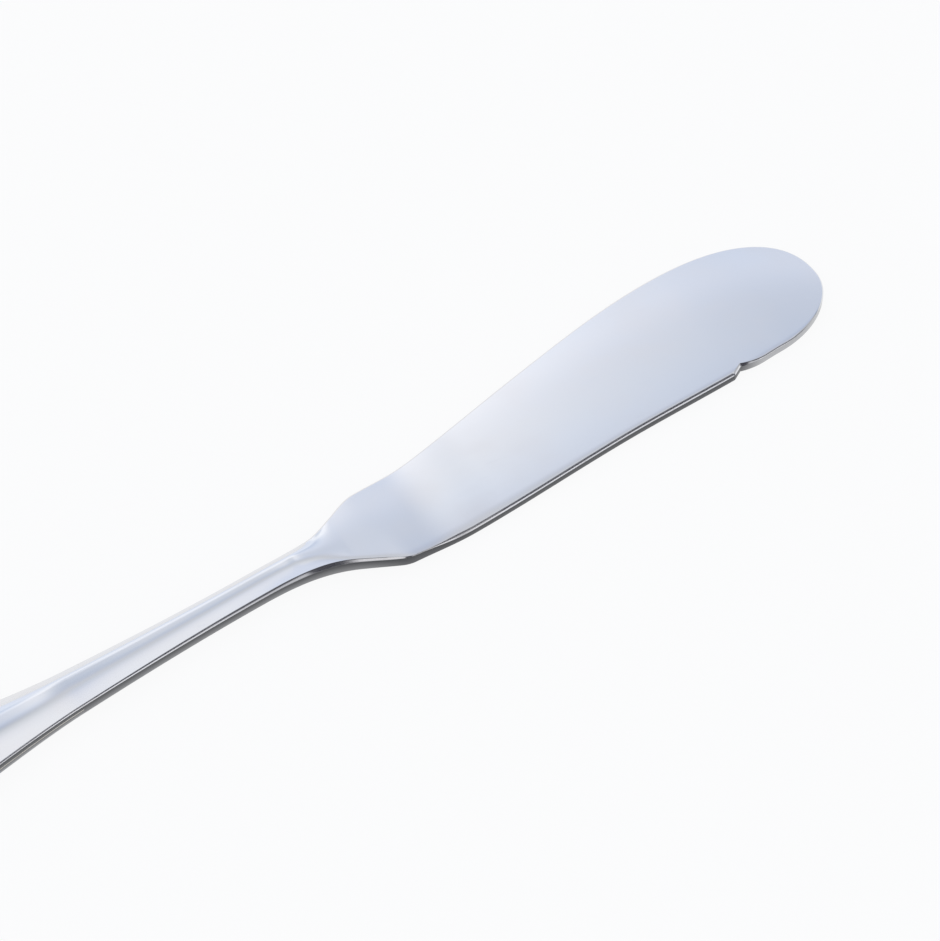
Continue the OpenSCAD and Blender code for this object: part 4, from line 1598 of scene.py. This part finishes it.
@dataclass
class Studio:
    """Floor, tent light and camera.

    Pitch runs from 0 at the back over the top to 180 at the front, and sideways angles count to the right of
    the picture, both in degrees. Each pair of angles gives where something is none and where it is full.
    """

    sizes: KnifeSizes
    floor: Finish
    # Camera
    image_width: int = 940
    image_height: int = 941
    turn: float = math.radians(33.84)
    elevation: float = math.radians(58.0)
    distance: float = mm(600)
    pixels_per_metre: float = 7000.0
    sensor: float = 36.0
    target: tuple[float, float] = (mm(15.744), mm(0.309))
    clip_near: float = 0.01
    clip_far: float = 100.0
    # Floor
    floor_size: float = 6.0
    floor_sides: int = 64
    wall_height: float = 0.5
    floor_drop: float = mm(0.02)
    # Panels of the tent, by pitch as a share of half a turn
    half_turn: float = 180.0
    tent_strength: float = 1.3
    tent_stops: tuple[tuple[float, Colour], ...] = (
        (0.000, (0.78, 0.80, 0.84)),
        (0.222, (0.835, 0.86, 0.90)),
        (0.267, (0.92, 0.94, 0.975)),
        (0.283, (0.93, 0.93, 0.95)),
        (0.293, (0.85, 0.86, 0.89)),
        (0.303, (0.80, 0.81, 0.84)),
        (0.317, (0.775, 0.79, 0.82)),
        (0.332, (0.73, 0.76, 0.815)),
        (0.344, (0.68, 0.715, 0.780)),
        (0.356, (0.63, 0.66, 0.730)),
        (0.372, (0.56, 0.59, 0.655)),
        (0.389, (0.53, 0.55, 0.59)),
        (0.411, (0.55, 0.57, 0.60)),
        (0.444, (0.63, 0.65, 0.68)),
        (0.489, (0.72, 0.73, 0.76)),
        (0.556, (0.77, 0.78, 0.80)),
        (0.650, (0.77, 0.78, 0.80)),
        (0.680, (0.70, 0.71, 0.74)),
        (0.710, (0.57, 0.58, 0.62)),
        (0.740, (0.38, 0.39, 0.42)),
        (0.762, (0.04, 0.04, 0.05)),
        (0.790, (0.04, 0.04, 0.05)),
        (0.800, (0.92, 0.92, 0.94)),
        (0.928, (0.92, 0.92, 0.94)),
        (0.942, (0.04, 0.04, 0.05)),
        (1.000, (0.04, 0.04, 0.05)),
    )
    # Tints, whose limits across the tent lean sideways with the pitch
    lean: float = 0.65
    level_pitch: float = 58.0
    left_tint: Tint = Tint(
        colour=(0.68, 0.715, 0.770), reach=(-1.0, -3.2), foot=(34.0, 44.0), top=(72.0, 61.0))
    right_tint: Tint = Tint(
        colour=(0.665, 0.708, 0.787), reach=(-0.8, 6.6), foot=(34.0, 44.0), top=(76.0, 62.0))
    slope_tint: Tint = Tint(
        colour=(0.80, 0.85, 0.955), reach=(-2.5, -6.5), foot=(70.0, 84.0), top=(128.0, 118.0))
    back_tint: Tint = Tint(
        colour=(0.85, 0.88, 0.935), reach=(1.0, 4.0), foot=(-1.0, 0.0), top=(50.0, 40.0))
    # Dark flags low in front, which the arrises mirror
    flag_colour: Colour = (0.05, 0.05, 0.06)
    flag_left: Span = (13.2, 16.0)
    flag_middle: Span = (29.0, 33.0)
    flag_rest: float = 0.5
    flag_right: Span = (46.5, 44.0)
    flag_foot: Span = (139.0, 143.0)
    front_reach: Span = (18.0, 14.0)
    front_foot: Span = (136.0, 138.0)
    front_top: Span = (148.0, 150.0)
    front_rest: float = 0.3
    side_reach: Span = (57.0, 63.0)
    side_share: float = 0.5

    @property
    def right(self) -> Vector:
        """Direction to the right of the picture, level."""
        return Vector((math.cos(self.turn), -math.sin(self.turn), 0.0))

    @property
    def ahead(self) -> Vector:
        """Direction away from the camera, level."""
        return Vector((math.sin(self.turn), math.cos(self.turn), 0.0))

    def lay_floor(self) -> bpy.types.Object:
        """Lays the white table, a round one with a low wall that hides the horizon.

        Returns:
            The floor.
        """
        reach, sides = self.floor_size / 2, self.floor_sides
        turns = [2 * math.pi * i / sides for i in range(sides)]
        rings = [
            (reach * math.cos(turn), reach * math.sin(turn), z)
            for z in (-self.floor_drop, self.wall_height) for turn in turns]
        wall = [(i, (i + 1) % sides, sides + (i + 1) % sides, sides + i) for i in range(sides)]
        mesh = bpy.data.meshes.new("studio_floor")
        mesh.from_pydata(rings, [], [tuple(range(sides)), *wall])
        mesh.materials.append(self.floor.material())
        floor = bpy.data.objects.new("studio_floor", mesh)
        bpy.context.scene.collection.objects.link(floor)
        return floor

    def light_tent(self) -> bpy.types.World:
        """Lights the scene by a tent whose panels run from the back over the top to the front.

        Returns:
            The world.
        """
        world = bpy.data.worlds.new("light_tent")
        world.use_nodes = True
        graph = Graph(world.node_tree)
        direction = graph.out("ShaderNodeTexCoord", output="Generated")

        def part_along(axis: Vector) -> Wire:
            """Share of the ray's direction along an axis."""
            return graph.out(
                "ShaderNodeVectorMath", {"operation": "DOT_PRODUCT"},
                {0: direction, 1: tuple(axis)}, output="Value")

        rise = graph.maths("MAXIMUM", part_along(Vector((0.0, 0.0, 1.0))), 0.0)
        pitch = graph.maths("ARCTAN2", rise, part_along(self.ahead)) * (self.half_turn / math.pi)
        sideways = graph.maths("ARCSINE", part_along(self.right)) * (self.half_turn / math.pi)
        light = graph.out("ShaderNodeValToRGB", {"stops": self.tent_stops}, {"Fac": pitch / self.half_turn})
        place = sideways - (pitch - self.level_pitch) * self.lean
        for tint in (self.left_tint, self.right_tint, self.slope_tint, self.back_tint):
            light = graph.mix_colours(tint.share(graph, place, pitch), light, tint.colour, "MULTIPLY")
        thinned = 1 - (1 - self.flag_rest) * graph.smooth_step(sideways, *self.flag_middle)
        across = graph.smooth_step(sideways, *self.flag_left) * graph.smooth_step(sideways, *self.flag_right)
        flag = across * thinned * graph.smooth_step(pitch, *self.flag_foot)
        dimmed = 1 - (1 - self.front_rest) * graph.smooth_step(pitch, *self.front_top)
        front = graph.smooth_step(sideways, *self.front_reach) * dimmed * graph.smooth_step(
            pitch, *self.front_foot)
        side = self.side_share * graph.smooth_step(sideways, *self.side_reach)
        dark = graph.maths("MAXIMUM", graph.maths("MAXIMUM", flag, front), side)
        flagged = graph.mix_colours(dark, light, self.flag_colour)
        tent = graph.out("ShaderNodeBackground", None, {"Color": flagged, "Strength": self.tent_strength})
        graph.add("ShaderNodeOutputWorld", None, {"Surface": tent})
        bpy.context.scene.world = world
        return world

    def set_camera(self) -> bpy.types.Object:
        """Sets the camera at the photograph's viewing angle.

        Returns:
            The camera.
        """
        data = bpy.data.cameras.new("camera")
        data.sensor_width = self.sensor
        picture = max(self.image_width, self.image_height)
        data.lens = self.sensor * self.pixels_per_metre * self.distance / picture
        data.clip_start = self.distance * self.clip_near
        data.clip_end = self.distance * self.clip_far
        camera = bpy.data.objects.new("camera", data)
        bpy.context.scene.collection.objects.link(camera)
        up = Vector((0.0, 0.0, 1.0))
        look = math.cos(self.elevation) * self.ahead - math.sin(self.elevation) * up
        top = math.sin(self.elevation) * self.ahead + math.cos(self.elevation) * up
        aim = Vector((*self.target, 0.0)) + self.sizes.shift
        turn = Matrix((self.right, top, -look)).transposed()
        camera.matrix_world = Matrix.Translation(aim - look * self.distance) @ turn.to_4x4()
        bpy.context.scene.camera = camera
        return camera

    def build(self) -> None:
        """Builds the studio."""
        self.lay_floor()
        self.light_tent()
        self.set_camera()
        bpy.context.scene.view_settings.view_transform = "Standard"
        LOG.info("studio: floor, tent light and camera")


def main() -> None:
    """Builds the knife and its studio."""
    logging.basicConfig(level=logging.INFO, format="%(name)s: %(message)s")
    sizes = KnifeSizes()
    outline = Outline(sizes)
    steel = PolishedSteel("polished_blade_steel")
    Blade(sizes, outline, steel).build()
    Handle(
        sizes, outline, PolishedSteel("polished_handle_steel"), SilverBraze("silver_braze"),
        CastResin("filler_resin")).build()
    Studio(sizes, StudioFloor("white_table")).build()


if __name__ == "__main__":
    main()
